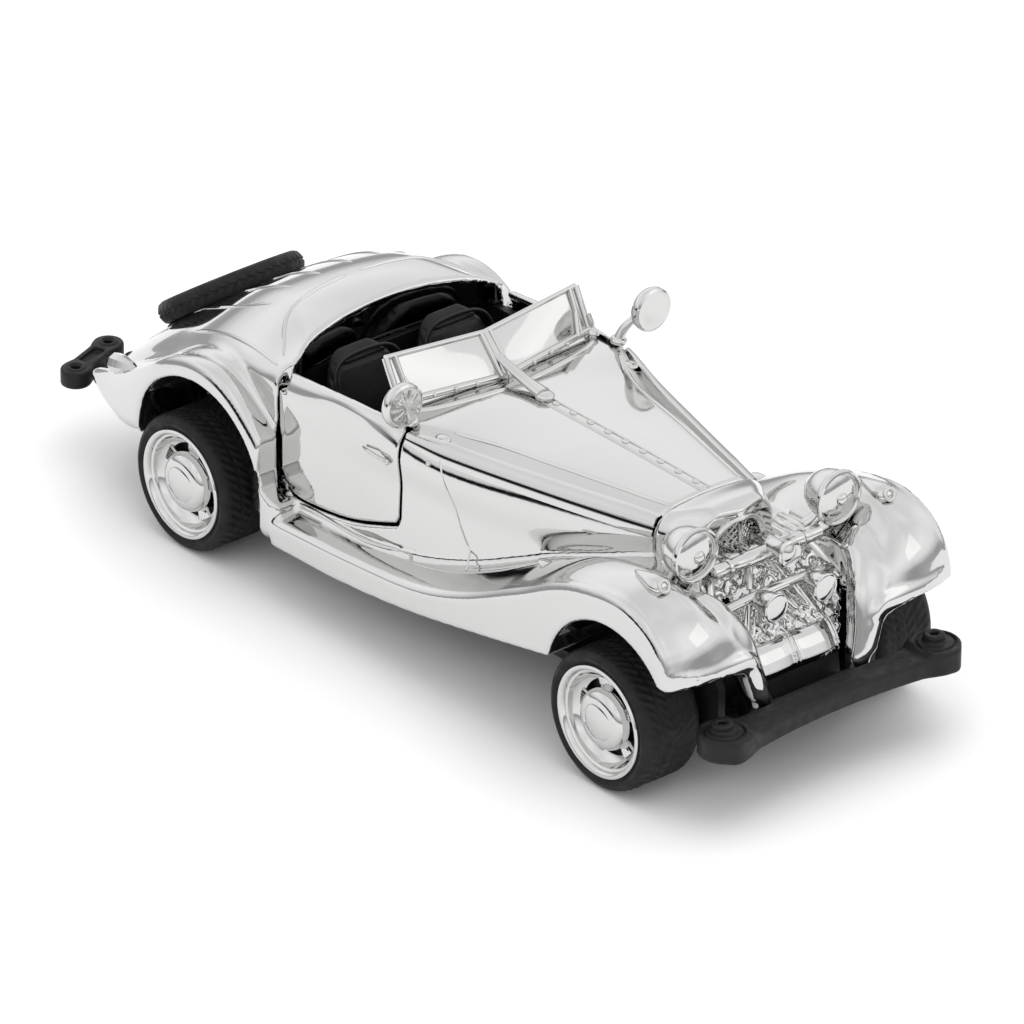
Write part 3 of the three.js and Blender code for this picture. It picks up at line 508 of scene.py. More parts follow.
def wheel_room(x, y, z):
    """Room for the wheels. Each rear arch has a thin lip outside a deeper opening."""
    w = np.abs(x)
    front = both(well(y, z, FRONT_WELL), 11.6 - w, 0.4)
    outer = both(well(y, z, REAR_WELL), 20.4 - w, 0.4)
    rear = both(well(y, z, REAR_WELL), np.maximum(29.4 - y, 11.6 - w), 0.4)
    return np.minimum(np.minimum(front, outer), rear)


COCKPIT_FRONT_Y = 7.2
COCKPIT_REAR = ((17.4, 22.0), (16.4, 24.6), (13.0, 26.2), (7, 27.0), (0, 27.2))
cockpit_plan = outline(
    [(0, 5.0), (17.4, 5.0), (17.4, COCKPIT_FRONT_Y), *spline(COCKPIT_REAR, 8)], (-6, -4), (30, 40),
)
DOOR_FOOT = ((DOOR_FRONT_Y + 0.4, 17.1), (11, 14.6), (17.5, 13.7), (21.5, 13.7), (23.8, 14.9))
DOOR_FRONT_EDGE = ((DOOR_FRONT_Y, 44), (DOOR_FRONT_Y, 18.0))
DOOR_REAR_EDGE = ((HINGE[1], 16.6), (HINGE[1], 44))
door_side = outline([*DOOR_FRONT_EDGE, *spline(DOOR_FOOT, 8), *DOOR_REAR_EDGE], (-4, 6), (32, 46))
door_top = track([(2.8, 30.4), (10, 30.2), (16, 29.8), (24.5, 29.2)], 1)
SWING = math.radians(35)


def cockpit(x, y, z):
    """Cockpit opening with the room below it for the tub."""
    w = np.abs(x)
    opening = both(cockpit_plan(w, y + 0 * w), 24.0 - z, 0.3)
    opening = both(opening, COCKPIT_FRONT_Y - y, 0.5)
    room = box_field(w, y, z, (-30, 5.3, 4.0), (17.15, 27.7, 27.6), 0.3)
    return np.minimum(opening, room)


def doorway(x, y, z, margin):
    w = np.abs(x)
    side = both(door_side(y, z) - margin, 16.0 - w, 0.1)
    cove = both(np.hypot(w - HINGE[0], y - HINGE[1]) - KNUCKLE_R - margin, 13.6 - z, 0.1)
    return np.minimum(side, cove)


def swing_room(x, y, z):
    """Room above the sill that an opened door sweeps through the rear wing."""
    w = np.abs(x)
    edge_x = HINGE[0] + 1.35 * math.cos(SWING)
    edge_y = HINGE[1] + 1.35 * math.sin(SWING)
    behind = (w - edge_x) * math.cos(SWING) + (y - edge_y) * math.sin(SWING)
    return both(behind, 13.2 - z, 0.3)


def inner_rooms(x, y, z):
    """Hidden rooms for the axles, the motor and the screws' shanks."""
    w = np.abs(x)
    front = box_field(w, y, z, (-30, -49.3, 4), (11.3, 5, 16.2), 0.3)
    rear = box_field(w, y, z, (-30, 20, 4), (11.3, 61, 20.6), 0.3)
    lower = both(z - (hull_top(y) - 2.2) + 0 * w, rear, 0.3)
    return np.minimum(front, lower)


def body(x, y, z):
    field = either(both(hull(x, y, z), BONNET_FRONT_Y - y, 0.25), front_wing(x, y, z), 0.9)
    back = without(rear_wing(x, y, z), swing_room(x, y, z), 0.3)
    field = either(field, back, 0.6)
    field = without(field, wheel_room(x, y, z), 0.4)
    field = either(field, claw(x, y, z), 1.5)
    field = without(field, cockpit(x, y, z), 0.35)
    field = without(field, doorway(x, y, z, 0.42), 0.3)
    field = without(field, inner_rooms(x, y, z), 0.3)
    floor = np.where(y < -44, 6.0, sill_foot(y)) - z
    tail = np.where(y > 49.5, 11.4 - 2.4 * ease((60 - y) / 10), 0) - z
    field = both(field, floor, 0.3)
    field = both(field, tail, 0.6)
    return both(field, y - 66.9, 1.1)


def door_skin(x, y, z):
    """Door panel in the hull's own surface, with a rolled hinge edge and a teardrop handle recess."""
    w = np.abs(x)
    panel = both(hull(x, y, z), half_width(y, z) - SKIN_T - w, 0.2)
    panel = both(panel, 17.4 - w, 0.1)
    field = both(panel, door_side(y, z), 0.3)
    field = both(both(field, y - HINGE[1] + 0 * w, 0.2), z - door_top(y), 0.25)
    knuckle = both(np.hypot(w - HINGE[0], y - HINGE[1]) - KNUCKLE_R, np.abs(z - 20.7) - 6.3, 0.15)
    field = either(field, knuckle, 0.25)
    bore = np.hypot(w - HINGE[0], y - HINGE[1]) - 0.62
    field = without(field, bore + 0 * z, 0.05)
    recess = capsule(w, y, z, ((21.1, 6.4, 25.5, 1.95), (20.6, 9.4, 25.9, 1.1)))
    return without(field, recess, 0.2)


# ---------------------------------------------------------------- materials
def add_node(tree, kind, settings=(), **inputs):
    """Shader node. Each input is a value or the socket that feeds it, with _ for a space in its name."""
    node = tree.nodes.new(f"ShaderNode{kind}")
    for key, value in dict(settings).items():
        setattr(node, key, value)
    for key, value in inputs.items():
        feed(tree, node, key.replace("_", " "), value)
    return node


def feed(tree, node, key, value):
    if isinstance(value, bpy.types.NodeSocket):
        tree.links.new(value, node.inputs[key])
    else:
        node.inputs[key].default_value = value


def noise(tree, place, scale, detail):
    return add_node(tree, "TexNoise", Scale=scale, Detail=detail, Vector=place).outputs["Fac"]


def remap(tree, source, low, high, to_low=0.0, to_high=1.0):
    ends = {"From_Min": low, "From_Max": high, "To_Min": to_low, "To_Max": to_high}
    return add_node(tree, "MapRange", Value=source, **ends).outputs["Result"]


def blend(tree, kind, factor, first, second):
    settings = {"data_type": "RGBA", "blend_type": kind}
    return add_node(tree, "Mix", settings, Factor=factor, A=first, B=second).outputs["Result"]


def new_material(name, color, metallic, rough_low, rough_high, drift=0.06):
    """Principled material whose roughness and colour drift with soft noise.

    Returns what more detail hooks onto: the material, its tree, its shader and its coordinates.
    """
    mat = bpy.data.materials.new(name)
    mat.use_nodes = True
    tree = mat.node_tree
    shader = tree.nodes["Principled BSDF"]
    place = add_node(tree, "TexCoord").outputs["Object"]
    darker = (*[c * (1 - drift) for c in color], 1)
    lighter = (*[min(c * (1 + drift), 1) for c in color], 1)
    feed(tree, shader, "Metallic", metallic)
    feed(tree, shader, "Base Color", blend(tree, "MIX", noise(tree, place, 120, 3), darker, lighter))
    rough = remap(tree, noise(tree, place, 700, 4), 0.35, 0.68, rough_low, rough_high)
    feed(tree, shader, "Roughness", rough)
    return mat, tree, shader, place


def bump(tree, shader, heights, strength, distance_mm):
    """Bump from the sum of (texture output, share) heights."""
    total = 0.0
    for output, share in heights:
        sum_node = add_node(tree, "Math", {"operation": "MULTIPLY_ADD"})
        for i, value in enumerate((output, share, total)):
            feed(tree, sum_node, i, value)
        total = sum_node.outputs["Value"]
    node = add_node(tree, "Bump", Strength=strength, Distance=distance_mm * MM, Height=total)
    feed(tree, shader, "Normal", node.outputs["Normal"])


def chrome_material(name, ripple):
    """Vacuum-plated chrome: near-mirror, with the faint ripple of the moulding below the plating."""
    mat, tree, shader, place = new_material(name, (0.63, 0.63, 0.62), 1.0, 0.03, 0.085, 0.02)
    swell = noise(tree, place, 160, 1)
    grain = noise(tree, place, 1500, 2)
    bump(tree, shader, [(swell, 1.0), (grain, 0.06)], ripple, 0.25)
    return mat


def plastic_material(name, color, rough_low, rough_high, grain, scale):
    mat, tree, shader, place = new_material(name, color, 0.0, rough_low, rough_high)
    feed(tree, shader, "Specular IOR Level", 0.28)
    coarse = noise(tree, place, scale * 0.3, 2)
    fine = noise(tree, place, scale, 5)
    bump(tree, shader, [(coarse, 0.8), (fine, 0.6)], grain, 0.12)
    return mat


def brushed_steel(name, color):
    mat, tree, shader, place = new_material(name, color, 1.0, 0.25, 0.42)
    lines = add_node(tree, "TexWave", Scale=900, Distortion=4, Vector=place)
    bump(tree, shader, [(lines.outputs["Fac"], 0.5)], 0.12, 0.05)
    return mat


CHROME = chrome_material("chrome_plate", 0.06)
CHROME_CAST = chrome_material("chrome_cast", 0.35)
BLACK = plastic_material("black_plastic", (0.008, 0.008, 0.009), 0.3, 0.46, 0.25, 2600)
BLACK_ROUGH = plastic_material("black_plastic_matt", (0.010, 0.010, 0.011), 0.4, 0.62, 0.6, 2200)
RUBBER = plastic_material("tyre_rubber", (0.010, 0.010, 0.011), 0.5, 0.72, 0.5, 3000)
STEEL = brushed_steel("steel", (0.62, 0.62, 0.63))
SPRING = brushed_steel("spring_steel", (0.35, 0.36, 0.38))
MOTOR = plastic_material("motor_plastic", (0.68, 0.66, 0.60), 0.38, 0.55, 0.2, 1500)


# ---------------------------------------------------------------- body and doors
def make_body():
    across = (-24.3, 0.44, -9, 0.58, 9, 0.44, 24.3)
    along = (-54.6, 0.37, -44, 0.54, 2.0, 0.25, 4.0, 0.54, 23.6, 0.26, 26.2, 0.52, 68)
    add_piece("body_casting", skin(body, across, along, (6.6, 0.41, 35.6)), CHROME, "body_shell")


LEVER_PATH = (
    (19.35, 4.5, 25.55), (19.75, 4.7, 25.6), (19.85, 5.6, 25.65), (19.8, 7.2, 25.75), (19.6, 8.6, 25.8),
)


def make_doors():
    panel = skin(door_skin, (16.6, 0.2, 20.6), (1.8, 0.21, 26.0), (13.0, 0.21, 32.4))
    lever = tube(LEVER_PATH, [0.34, 0.34, 0.3, 0.26, 0.18], 12, 0.8)
    handle = joined(lever, ball((19.5, 4.2, 25.4), (0.35, 0.4, 0.4), 16))
    for label, side in SIDES:
        name = f"door_{label}"
        add_piece(f"{name}_panel", moved(panel, flip(side)), CHROME, name, body=name)
        add_piece(f"{name}_handle", moved(handle, flip(side)), CHROME, body=name)


def on_body(points):
    return newton(body, np.asarray(points, float), 4)


def surface_rib(points, radius, steps=10):
    """Half-sunk rib that follows the body's surface."""
    path = on_body(spline(points, steps))
    ends = np.minimum(np.arange(len(path)), np.arange(len(path))[::-1])
    taper = np.clip((ends + 0.4) / 4, 0.1, 1) ** 0.5
    return tube(path, radius * taper, 8, 0.7)


STRIPE = (
    (-0.7, 1.0), (0.0, 0.9), (0.08, 0.82), (0.28, 0.22), (0.34, 0.1), (0.3, 0.03), (0.22, 0.0), (0.22, -0.06),
    (0.3, -0.12), (0.58, -0.98), (0.56, -1.08), (0.42, -1.14), (-0.7, -1.14),
)


def bonnet_stripe():
    """Double-stepped moulding along the side of the bonnet, below the shoulder."""
    rings = []
    for y in np.linspace(-32.9, 2.0, 90):
        size = float(np.interp(y, (-33, -28, -3, 2), (1.15, 1.3, 1.15, 0.6)))
        z = float(hull_part["shoulder"][1](y)) - 0.1
        w = float(half_width(np.array(y), np.array(z)))
        rings.append([(w + 0.1 + size * out * 1.2, y, z + size * up) for out, up in STRIPE])
    return loft(rings)


RIBS = (  # radius, then points near the left side's surface
    (0.13, (17.6, -3.2, 28.6), (17.9, -4.6, 25), (18.0, -6.4, 21), (18.2, -8.6, 17.2), (18.6, -10.6, 15.2)),
    (0.13, (17.6, -3.2, 28.6), (16.9, -3.2, 29.6), (15.0, -3.4, 30.4)),
    (0.12, (18.6, -10.6, 15.2), (15.4, -19.0, 18.6), (12.4, -27.0, 22.6)),
    (0.3, (18.2, 27.2, 29.6), (17.2, 33, 29.4), (16.0, 40, 28.0), (14.4, 48, 24.6)),
    (0.3, (17.4, 27.6, 31.2), (12.5, 32.6, 33.4), (6.5, 33.9, 34.2), (1.0, 34.1, 34.4)),
    (0.26, (2.6, 37.5, 33.6), (2.6, 44, 30.4), (1.9, 52, 24.2), (1.9, 57.5, 20.2)),
    (0.26, (7.4, 37.5, 33.6), (7.4, 44, 30.4), (5.4, 52, 24.2), (5.4, 57.5, 20.2)),
    (0.26, (12.0, 37.5, 33.6), (12.0, 44, 30.4), (8.6, 52, 24.2), (8.6, 57.5, 20.2)),
    (0.34, (19.9, 20.8, 13.0), (20.0, 14, 13.0), (20.0, 8, 13.2), (19.7, 2, 13.9)),
    (0.2, (19.7, 2, 13.9), (19.3, -5, 14.9), (18.4, -12, 16.6), (17.4, -18, 18.6)),
)
STUDS = (  # point near the surface, radii and sides: bonnet catch, wing boss and scuttle stud
    ((15.4, -1.6, 29.9), (0.8, 1.2, 0.35), 20),
    ((17.4, -23.6, 21.6), (0.9, 1.5, 0.35), 20),
    ((18.3, -2.0, 27.3), (0.35, 0.35, 0.35), 12),
)


def make_body_trims():
    edge_w, edge_z = hull_part["edge"]
    crest = [(float(edge_w(y)) + 0.15, y, float(edge_z(y))) for y in (-32.6, -24, -16, -8, -2)]
    ribs = [surface_rib(points, radius) for radius, *points in RIBS]
    studs = [ball(on_body([point])[0], radii, sides) for point, radii, sides in STUDS]
    half = joined(surface_rib(crest, 0.24), *ribs, bonnet_stripe(), *studs)
    add_piece("body_ribs", joined(half, mirrored(half)), CHROME, sharp=35)


def make_bonnet_hinge():
    """Piano hinge along the middle of the bonnet."""
    line = np.linspace(-32.8, -2.6, 40)
    spine = tube([(0, y, float(hull_top(y)) - 0.05) for y in line], 0.62, 12, 0.42)
    edges = [tube([(x, y, float(hull_top(y)) - 0.02) for y in line], 0.13, 8) for x in (-0.78, 0.78)]
    knuckles = [(0, y, float(hull_top(y)) + 0.2) for y in np.linspace(-31, -5, 9)]
    beads = [ball(place, (0.42, 0.6, 0.26), 16) for place in knuckles]
    add_piece("bonnet_hinge", joined(spine, *edges, *beads), CHROME)


# ---------------------------------------------------------------- wheels
def tread_height(angle, across):
    """Depth of the tyre's fine zigzag pattern, in millimetres, with across from -1 to 1."""
    wave = np.sin(angle * 46 + 5.5 * np.abs(across) * math.pi)
    blocks = np.clip(wave * 3, -1, 1)
    grooved = min(abs(abs(across) - 0.36), abs(across)) < 0.05
    return 0.07 * np.minimum(blocks, -1 if grooved else 1)


def tyre_mesh(r, width, bead_r, around=320, rows=40):
    """Tyre about X, from its inner face at x = 0 to its outer face."""
    half = width / 2
    wall = [(bead_r, 0.5), (bead_r + 0.5, 0.15), (r - 0.9, 0.0), (r - 0.35, 0.28), (r - 0.1, 0.75)]
    tread = [(r, x) for x in np.linspace(1.2, width - 1.2, rows)]
    inner = [(bead_r - 0.9, width - 1.0), (bead_r - 0.9, 1.0)]
    angle = np.linspace(0, 2 * math.pi, around, endpoint=False)
    rings = []
    for radius, x in wall + tread + [(a, width - b) for a, b in reversed(wall)] + inner:
        if radius > r - 0.05:
            radius = radius + tread_height(angle, (x - half) / half)
        rings.append(np.stack([np.full(around, x), radius * np.cos(angle), radius * np.sin(angle)], axis=1))
    return loft(rings, closed=True)


# Turned profiles, here and below, are (radius, height) points along the axis.
RIM_DISH = [
    (4.95, -3.2), (4.95, -2.25), (5.35, -2.05), (5.85, -1.55), (6.1, -0.95), (6.2, -0.72), (6.5, -0.62),
    (6.6, -0.35), (6.75, -0.08), (7.0, 0.06), (7.25, 0.02), (7.38, -0.15), (7.4, -0.5), (7.4, -1.4),
    (6.4, -1.6), (6.3, -3.2),
]
HUBCAP = [
    (0, -3.4), (4.0, -3.4), (4.05, -2.0), (4.0, -1.3), (3.82, -0.75), (3.45, -0.32), (2.95, -0.08),
    (2.55, 0.0), (2.42, 0.02), (2.34, -0.05), (2.24, 0.02), (1.7, 0.13), (1.0, 0.22), (0.5, 0.26), (0, 0.27),
]
BRIDGE = ((-2.35, 3.9), (-2.2, 4.5), (-2.2, 5.2))  # x and radius of a bar from the cap to the dish


def rim_mesh():
    """Wheel face about X, with its outer face at x = 0: dished rim, domed cap and five bridges."""
    bridges = []
    for middle in np.linspace(0, 2 * math.pi, 5, endpoint=False):
        for a in middle + np.linspace(-0.16, 0.16, 5):
            path = [(x, r * math.cos(a), r * math.sin(a)) for x, r in BRIDGE]
            bridges.append(tube(path, 0.42, 8))
    return joined(lathe(RIM_DISH, 96, "X"), lathe(HUBCAP, 96, "X"), *bridges)


def make_wheels():
    box_low, box_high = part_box("tyre_front_left")
    width = (box_high.x - box_low.x) / MM
    out_x = box_high.x / MM
    tyre = tyre_mesh(TYRE_R - 0.03, width, 7.42)
    rim = rim_mesh()
    back = lathe([(1.2, -3.9), (6.35, -3.9), (6.35, -3.3), (1.2, -3.3)], 64, "X")
    for end, y, turned in (("front", -AXLE_Y, 8), ("rear", AXLE_Y, 24)):
        for label, side in SIDES:
            key = f"{end}_{label}"
            wheelset = f"{end}_wheelset"
            place = at(0, y, TYRE_R) @ flip(side)
            rubber = moved(tyre, place @ at(out_x - width, 0, 0))
            face = moved(rim, place @ at(out_x - 0.05, 0, 0) @ turn(turned, "X"))
            disc = moved(back, place @ at(out_x, 0, 0))
            add_piece(f"tyre_{key}_rubber", rubber, RUBBER, f"tyre_{key}", 50, wheelset)
            add_piece(f"wheel_rim_{key}_plated", face, CHROME, f"wheel_rim_{key}", 40, wheelset)
            add_piece(f"wheel_back_{key}", disc, BLACK, None, 40, wheelset)


SPARE_DISC = [
    (0, -1.0), (6.1, -1.0), (6.2, 0.2), (5.9, 0.75), (5.3, 0.8), (4.9, 0.35), (4.2, 0.1), (3.4, 0.3),
    (2.9, 0.9), (2.0, 1.35), (1.0, 1.5), (0, 1.55),
]


def make_spare():
    r, width, tilt = 10.0, 3.0, 35.0
    place = at(*box_middle("spare_tyre")) @ turn(-tilt, "X")
    tyre = tyre_mesh(r - 0.08, width, 6.2, 320, 14)
    rubber = moved(tyre, place @ at(0, 0, -width / 2) @ turn(-90, "Y"))
    add_piece("spare_tyre_rubber", rubber, RUBBER, "spare_tyre", 50)
    disc = moved(lathe(SPARE_DISC, 96, "Z"), place)
    add_piece("spare_wheel_plated", disc, CHROME, "spare_wheel_disc", 40)


# ---------------------------------------------------------------- front end
GRILLE_HALF = 3.9
GRILLE_ARCH_Z = 24.3


def nose_width(y, z):
    taper = ease((-33 - y) / 6.5)
    low = 8.7 + 0.0 * z
    shoulder = np.clip((z - 26.8) / 3.6, 0, 1.6)
    return (low - 2.6 * taper) - (1.7 + 0.2 * taper) * shoulder**1.6 * 1.35


def radiator_field(x, y, z):
    """Radiator shell: it carries the bonnet's section forward to a prow with an arched opening."""
    w = np.abs(x)
    top = z - (30.1 + 0.55 * ease((-33 - y) / 4) - 0.6 * ease((-37.5 - y) / 2.4) - 0.012 * w**2)
    side = w - nose_width(y, z)
    front = -39.6 + 0.22 * w - y
    field = both(both(top, side, 0.8), front, 0.55)
    field = both(field, y + 33.35 + 0 * w, 0.3)
    field = both(field, 13.5 - z, 0.3)
    arch = np.where(z > GRILLE_ARCH_Z, np.hypot(w, z - GRILLE_ARCH_Z), w + 0 * z) - GRILLE_HALF
    opening = both(arch, y + 36.4, 0.1)
    field = without(field, opening, 0.3)
    frame_rib = np.abs(arch - 0.55) - 0.22
    frame_rib = both(frame_rib, np.abs(y + 39.55 - 0.22 * w) - 0.35, 0.15)
    return either(field, both(frame_rib, 14 - z, 0.1), 0.15)


def make_radiator():
    shell = skin(radiator_field, (-9.6, 0.24, 9.6), (-40.6, 0.24, -32.9), (13.0, 0.24, 31.6))
    add_piece("radiator_casting", shell, CHROME, "radiator_shell")


def make_grille():
    """Crossed wires and ribs in front of a backing plate."""
    bars = []
    bottom = 13.9
    across = np.linspace(-GRILLE_HALF, GRILLE_HALF, 9)
    for lean in (-1, 1):
        for k in range(-14, 22):
            line = []
            for x in lean * across:
                z = bottom + 0.95 * k + 1.15 * (lean * x + GRILLE_HALF)
                reach = GRILLE_HALF**2 - max(z - GRILLE_ARCH_Z, 0) ** 2
                if z > bottom - 0.1 and reach > x * x:
                    line.append((x, -38.75 + 0.4 * abs(x), z))
            if len(line) > 1:
                bars.append(tube(line, 0.17, 8))
    bars.append(tube([(0, -39.1, bottom), (0, -39.2, 20), (0, -39.1, 28.0)], 0.3, 10))
    half = GRILLE_HALF - 0.1
    for z in (16.5, 19.4, 22.3, 25.0):
        bars.append(tube([(-half, -37.25, z), (0, -38.8, z), (half, -37.25, z)], 0.16, 8))
    plan = ((-4.2, -36.9), (0, -38.3), (4.2, -36.9), (4.2, -36.3), (-4.2, -36.3))
    plate = loft([[(x * wide, y, z) for x, y in plan] for wide, z in ((1, 13.8), (1, 25.2), (0.55, 28.2))])
    add_piece("radiator_mesh", joined(*bars, plate), CHROME_CAST, "radiator_grille", 50)


CAST_STRUTS = (
    ((2.2, -43.0, 23.6, 0.55), (5.6, -46.6, 17.2, 0.6)),
    ((5.4, -42.8, 23.2, 0.6), (8.6, -45.8, 17.0, 0.6)),
    ((7.6, -42.0, 24.6, 0.7), (10.6, -45.4, 20.0, 0.9)),
    ((0, -44.2, 22.2, 0.8), (2.6, -46.4, 18.6, 0.55)),
)


def front_casting(x, y, z):
    """Frame horns, struts and lumpy cast detail between the wings."""
    w = np.abs(x)
    front = np.interp(z, (13.5, 16.5, 19, 22.4, 24.6, 27), (-48.2, -47.6, -45.4, -43.6, -42.0, -40.2))
    slab = both(front - y, y + 36.8 + 0 * w, 0.4)
    slab = both(slab, w - (10.6 - 0.35 * np.clip(20 - z, 0, 8)), 0.4)
    slab = both(slab, np.maximum(z - 25.4 - 0 * w, 13.4 - z), 0.4)
    coarse = 0.30 * np.sin(2.3 * x + 1.1) * np.sin(2.9 * z + 0.7)
    medium = 0.24 * np.sin(4.1 * w + 2.0 * z) * np.sin(3.3 * z)
    fine = 0.08 * np.sin(7.1 * x + 3.0 * np.sin(2.1 * z)) * np.sin(6.3 * z + 2.0 * y)
    field = slab + coarse + medium + fine
    for path in CAST_STRUTS:
        field = either(field, capsule(w, y, z, path), 0.25)
    for cx, cz, r in ((7.6, 21.9, 0.95), (8.0, 18.6, 0.6), (1.5, 20.4, 0.5)):
        ring = np.hypot(w - cx, z - cz)
        field = either(field, both(np.abs(ring - r) - 0.3, front - 0.5 - y, 0.1), 0.12)
    hole = np.hypot(x + 6.6, z - 21.4) - 0.62
    return without(field, hole + 0 * y, 0.1)


def apron_field(x, y, z):
    """Rounded panels side by side below the lamps, parted by double ribs."""
    w = np.abs(x)
    curve = np.interp(z, (12.4, 13.4, 14.6, 15.6, 16.4), (-49.6, -49.9, -49.3, -48.5, -47.6))
    cell = np.abs(w - 3.7)
    bulge = 0.45 * np.sqrt(np.clip(1 - (cell / 3.3) ** 2, 0.02, 1))
    ribs = np.exp(-(((w - 0.32) / 0.15) ** 2)) + np.exp(-(((np.abs(w - 6.75) - 0.28) / 0.14) ** 2))
    face = curve - bulge - 0.396 * ribs - y + 0.042 * np.clip(w - 4, 0, 4) ** 2
    field = both(face, y + 46.9 + 0 * w, 0.3)
    low = 12.5 + 0.25 * np.sin(w * 5.2) * ease((w - 0.5) / 2) + 0.03 * (7 - w)
    field = both(field, low - z, 0.25)
    field = both(field, z - 16.3, 0.35)
    return both(field, w - 7.4, 0.35)


HORN = [
    (0, -1.0), (0.9, -0.8), (1.05, 0.3), (1.2, 1.2), (1.55, 1.9), (1.75, 2.3), (1.8, 2.6), (1.62, 2.75),
    (1.4, 2.6), (1.1, 2.5), (0.5, 2.85), (0, 2.95),
]
LAMP_BAR = (  # x and radius
    (-8.6, 1.0), (-6.2, 1.0), (-6.0, 0.88), (-3.4, 0.88), (-3.2, 1.02), (3.2, 1.02), (3.4, 0.88), (6.0, 0.88),
    (6.2, 1.0), (8.6, 1.0),
)
BAR_Y, BAR_Z = -43.7, 25.8


def make_front():
    casting = skin(front_casting, (-11.8, 0.2, 11.8), (-49.2, 0.26, -36.4), (12.8, 0.2, 26.6), rounds=2)
    add_piece("front_frame_cast", casting, CHROME_CAST, "front_frame_casting")
    apron = skin(apron_field, (-8, 0.15, 8), (-51.6, 0.2, -46.4), (12, 0.15, 16.9))
    add_piece("front_apron_panels", apron, CHROME, "front_apron")
    x = np.linspace(-8.8, 8.8, 25)
    bowed = np.stack([x, -45.8 - 1.5 * np.cos(math.pi * x / 18.8), 23.0 - 0.018 * x * x], axis=1)
    bar = tube([(x, BAR_Y, BAR_Z) for x, _ in LAMP_BAR], [r for _, r in LAMP_BAR], 24)
    parts = [bar, tube(bowed, 0.62, 16)]
    for s in (-1, 1):
        parts.append(tube([(s * 6.1 - 0.22, BAR_Y, BAR_Z), (s * 6.1 + 0.22, BAR_Y, BAR_Z)], 1.08, 24))
        parts.append(tube([(s * 2.6, -43.6, 25.6), (s * 2.7, -43.9, 23.6), (s * 3.1, -44.6, 22.2)], 0.5, 12))
    add_piece("lamp_bar_turned", joined(*parts), CHROME, "lamp_bar", 40)
    add_piece("centre_horn_turned", moved(lathe(HORN, 48), at(0, -45.6, 27.4)), CHROME, "centre_horn", 45)


HEADLAMP_BUCKET = [
    (0, -3.0), (0.9, -2.9), (1.8, -2.45), (2.55, -1.6), (3.05, -0.5), (3.26, 0.6), (3.32, 1.25), (3.5, 1.35),
    (3.6, 1.55), (3.62, 1.9), (3.5, 2.16), (3.28, 2.24), (3.12, 2.1), (3.04, 1.8), (0, 1.7),
]
HEADLAMP_LENS = [
    (0, 1.3), (3.05, 1.3), (2.98, 1.8), (2.6, 2.04), (2.0, 2.26), (1.4, 2.4), (0.86, 2.46), (0.8, 2.62),
    (0.62, 2.84), (0.34, 2.98), (0, 3.03),
]
FOG_LAMP = [
    (0, -2.0), (0.9, -1.9), (1.3, -1.2), (1.66, 0.4), (1.72, 1.3), (1.86, 1.36), (1.86, 1.62), (1.74, 1.72),
    (1.6, 1.66), (1.5, 1.7), (0.8, 1.8), (0, 1.84),
]
SIGNAL_DROP = [
    (0, -3.0), (0.25, -2.7), (0.62, -1.9), (1.05, -0.7), (1.35, 0.5), (1.42, 1.2), (1.25, 1.9), (0.8, 2.45),
    (0, 2.7),
]
SIGNAL_RING = [(0.5, 0.15), (0.95, 0.1), (1.0, 0.32), (0.75, 0.5), (0.5, 0.42)]
TAIL_POD = [
    (0, -3.6), (0.35, -3.4), (0.8, -2.4), (1.25, -0.6), (1.35, 0.4), (1.35, 0.95), (1.2, 1.1), (0.9, 1.15),
    (0.7, 1.4), (0, 1.55),
]


def make_lamps():
    stalk = tube([(-1.9, 1.6, -4.4), (-1.2, 1.1, -3.6), (-0.4, 0.6, -2.4)], [0.95, 0.8, 0.7], 16)
    foot = tube([(1.4, 1.8, -5.6), (1.2, 1.2, -4.6), (0.8, 0.8, -3.0)], [1.1, 0.8, 0.7], 16)
    shell = joined(lathe(HEADLAMP_BUCKET, 72), stalk, foot)
    lens = lathe(HEADLAMP_LENS, 72)
    fog_arm = tube([(0, 1.6, -0.2), (0, 2.6, -0.6), (0, 4.2, -1.2)], [0.7, 0.6, 0.7], 12)
    fog = joined(lathe(FOG_LAMP, 56), fog_arm)
    drop = lathe(SIGNAL_DROP, 40)
    ring = lathe(SIGNAL_RING, 32)
    tail = lathe(TAIL_POD, 8)
    for label, side in SIDES:
        head = at(side * 11.6, -42.2, 29.5)
        bucket = moved(shell, head @ flip(side))
        add_piece(f"headlamp_shell_{label}", bucket, CHROME, f"headlamp_bucket_{label}", 40)
        add_piece(f"headlamp_glass_{label}", moved(lens, head), CHROME, f"headlamp_lens_{label}", 40)
        lamp = moved(fog, at(side * 4, -48.7, 22.3))
        add_piece(f"fog_lamp_turned_{label}", lamp, CHROME, f"fog_lamp_{label}", 40)
        seat_point = Vector(on_body([(side * 18.4, -43.6, 29)])[0])
        signal = moved(drop, at(*seat_point) @ turn(6, "X") @ Matrix.Diagonal((1, 1, 0.85, 1)))
        eye = moved(ring, at(*seat_point + Vector((0, -2.2, 0.2))) @ turn(-28.65, "X"))
        add_piece(f"signal_lamp_drop_{label}", joined(signal, eye), CHROME, f"signal_lamp_{label}")
        middle = box_middle(f"tail_lamp_{label}") + Vector((-side * 0.8, -3.4, 0.1))
        pod = moved(tail, at(*middle) @ turn(180, "Z") @ turn(8, "X"))
        add_piece(f"tail_lamp_pod_{label}", pod, CHROME, f"tail_lamp_{label}", 25)


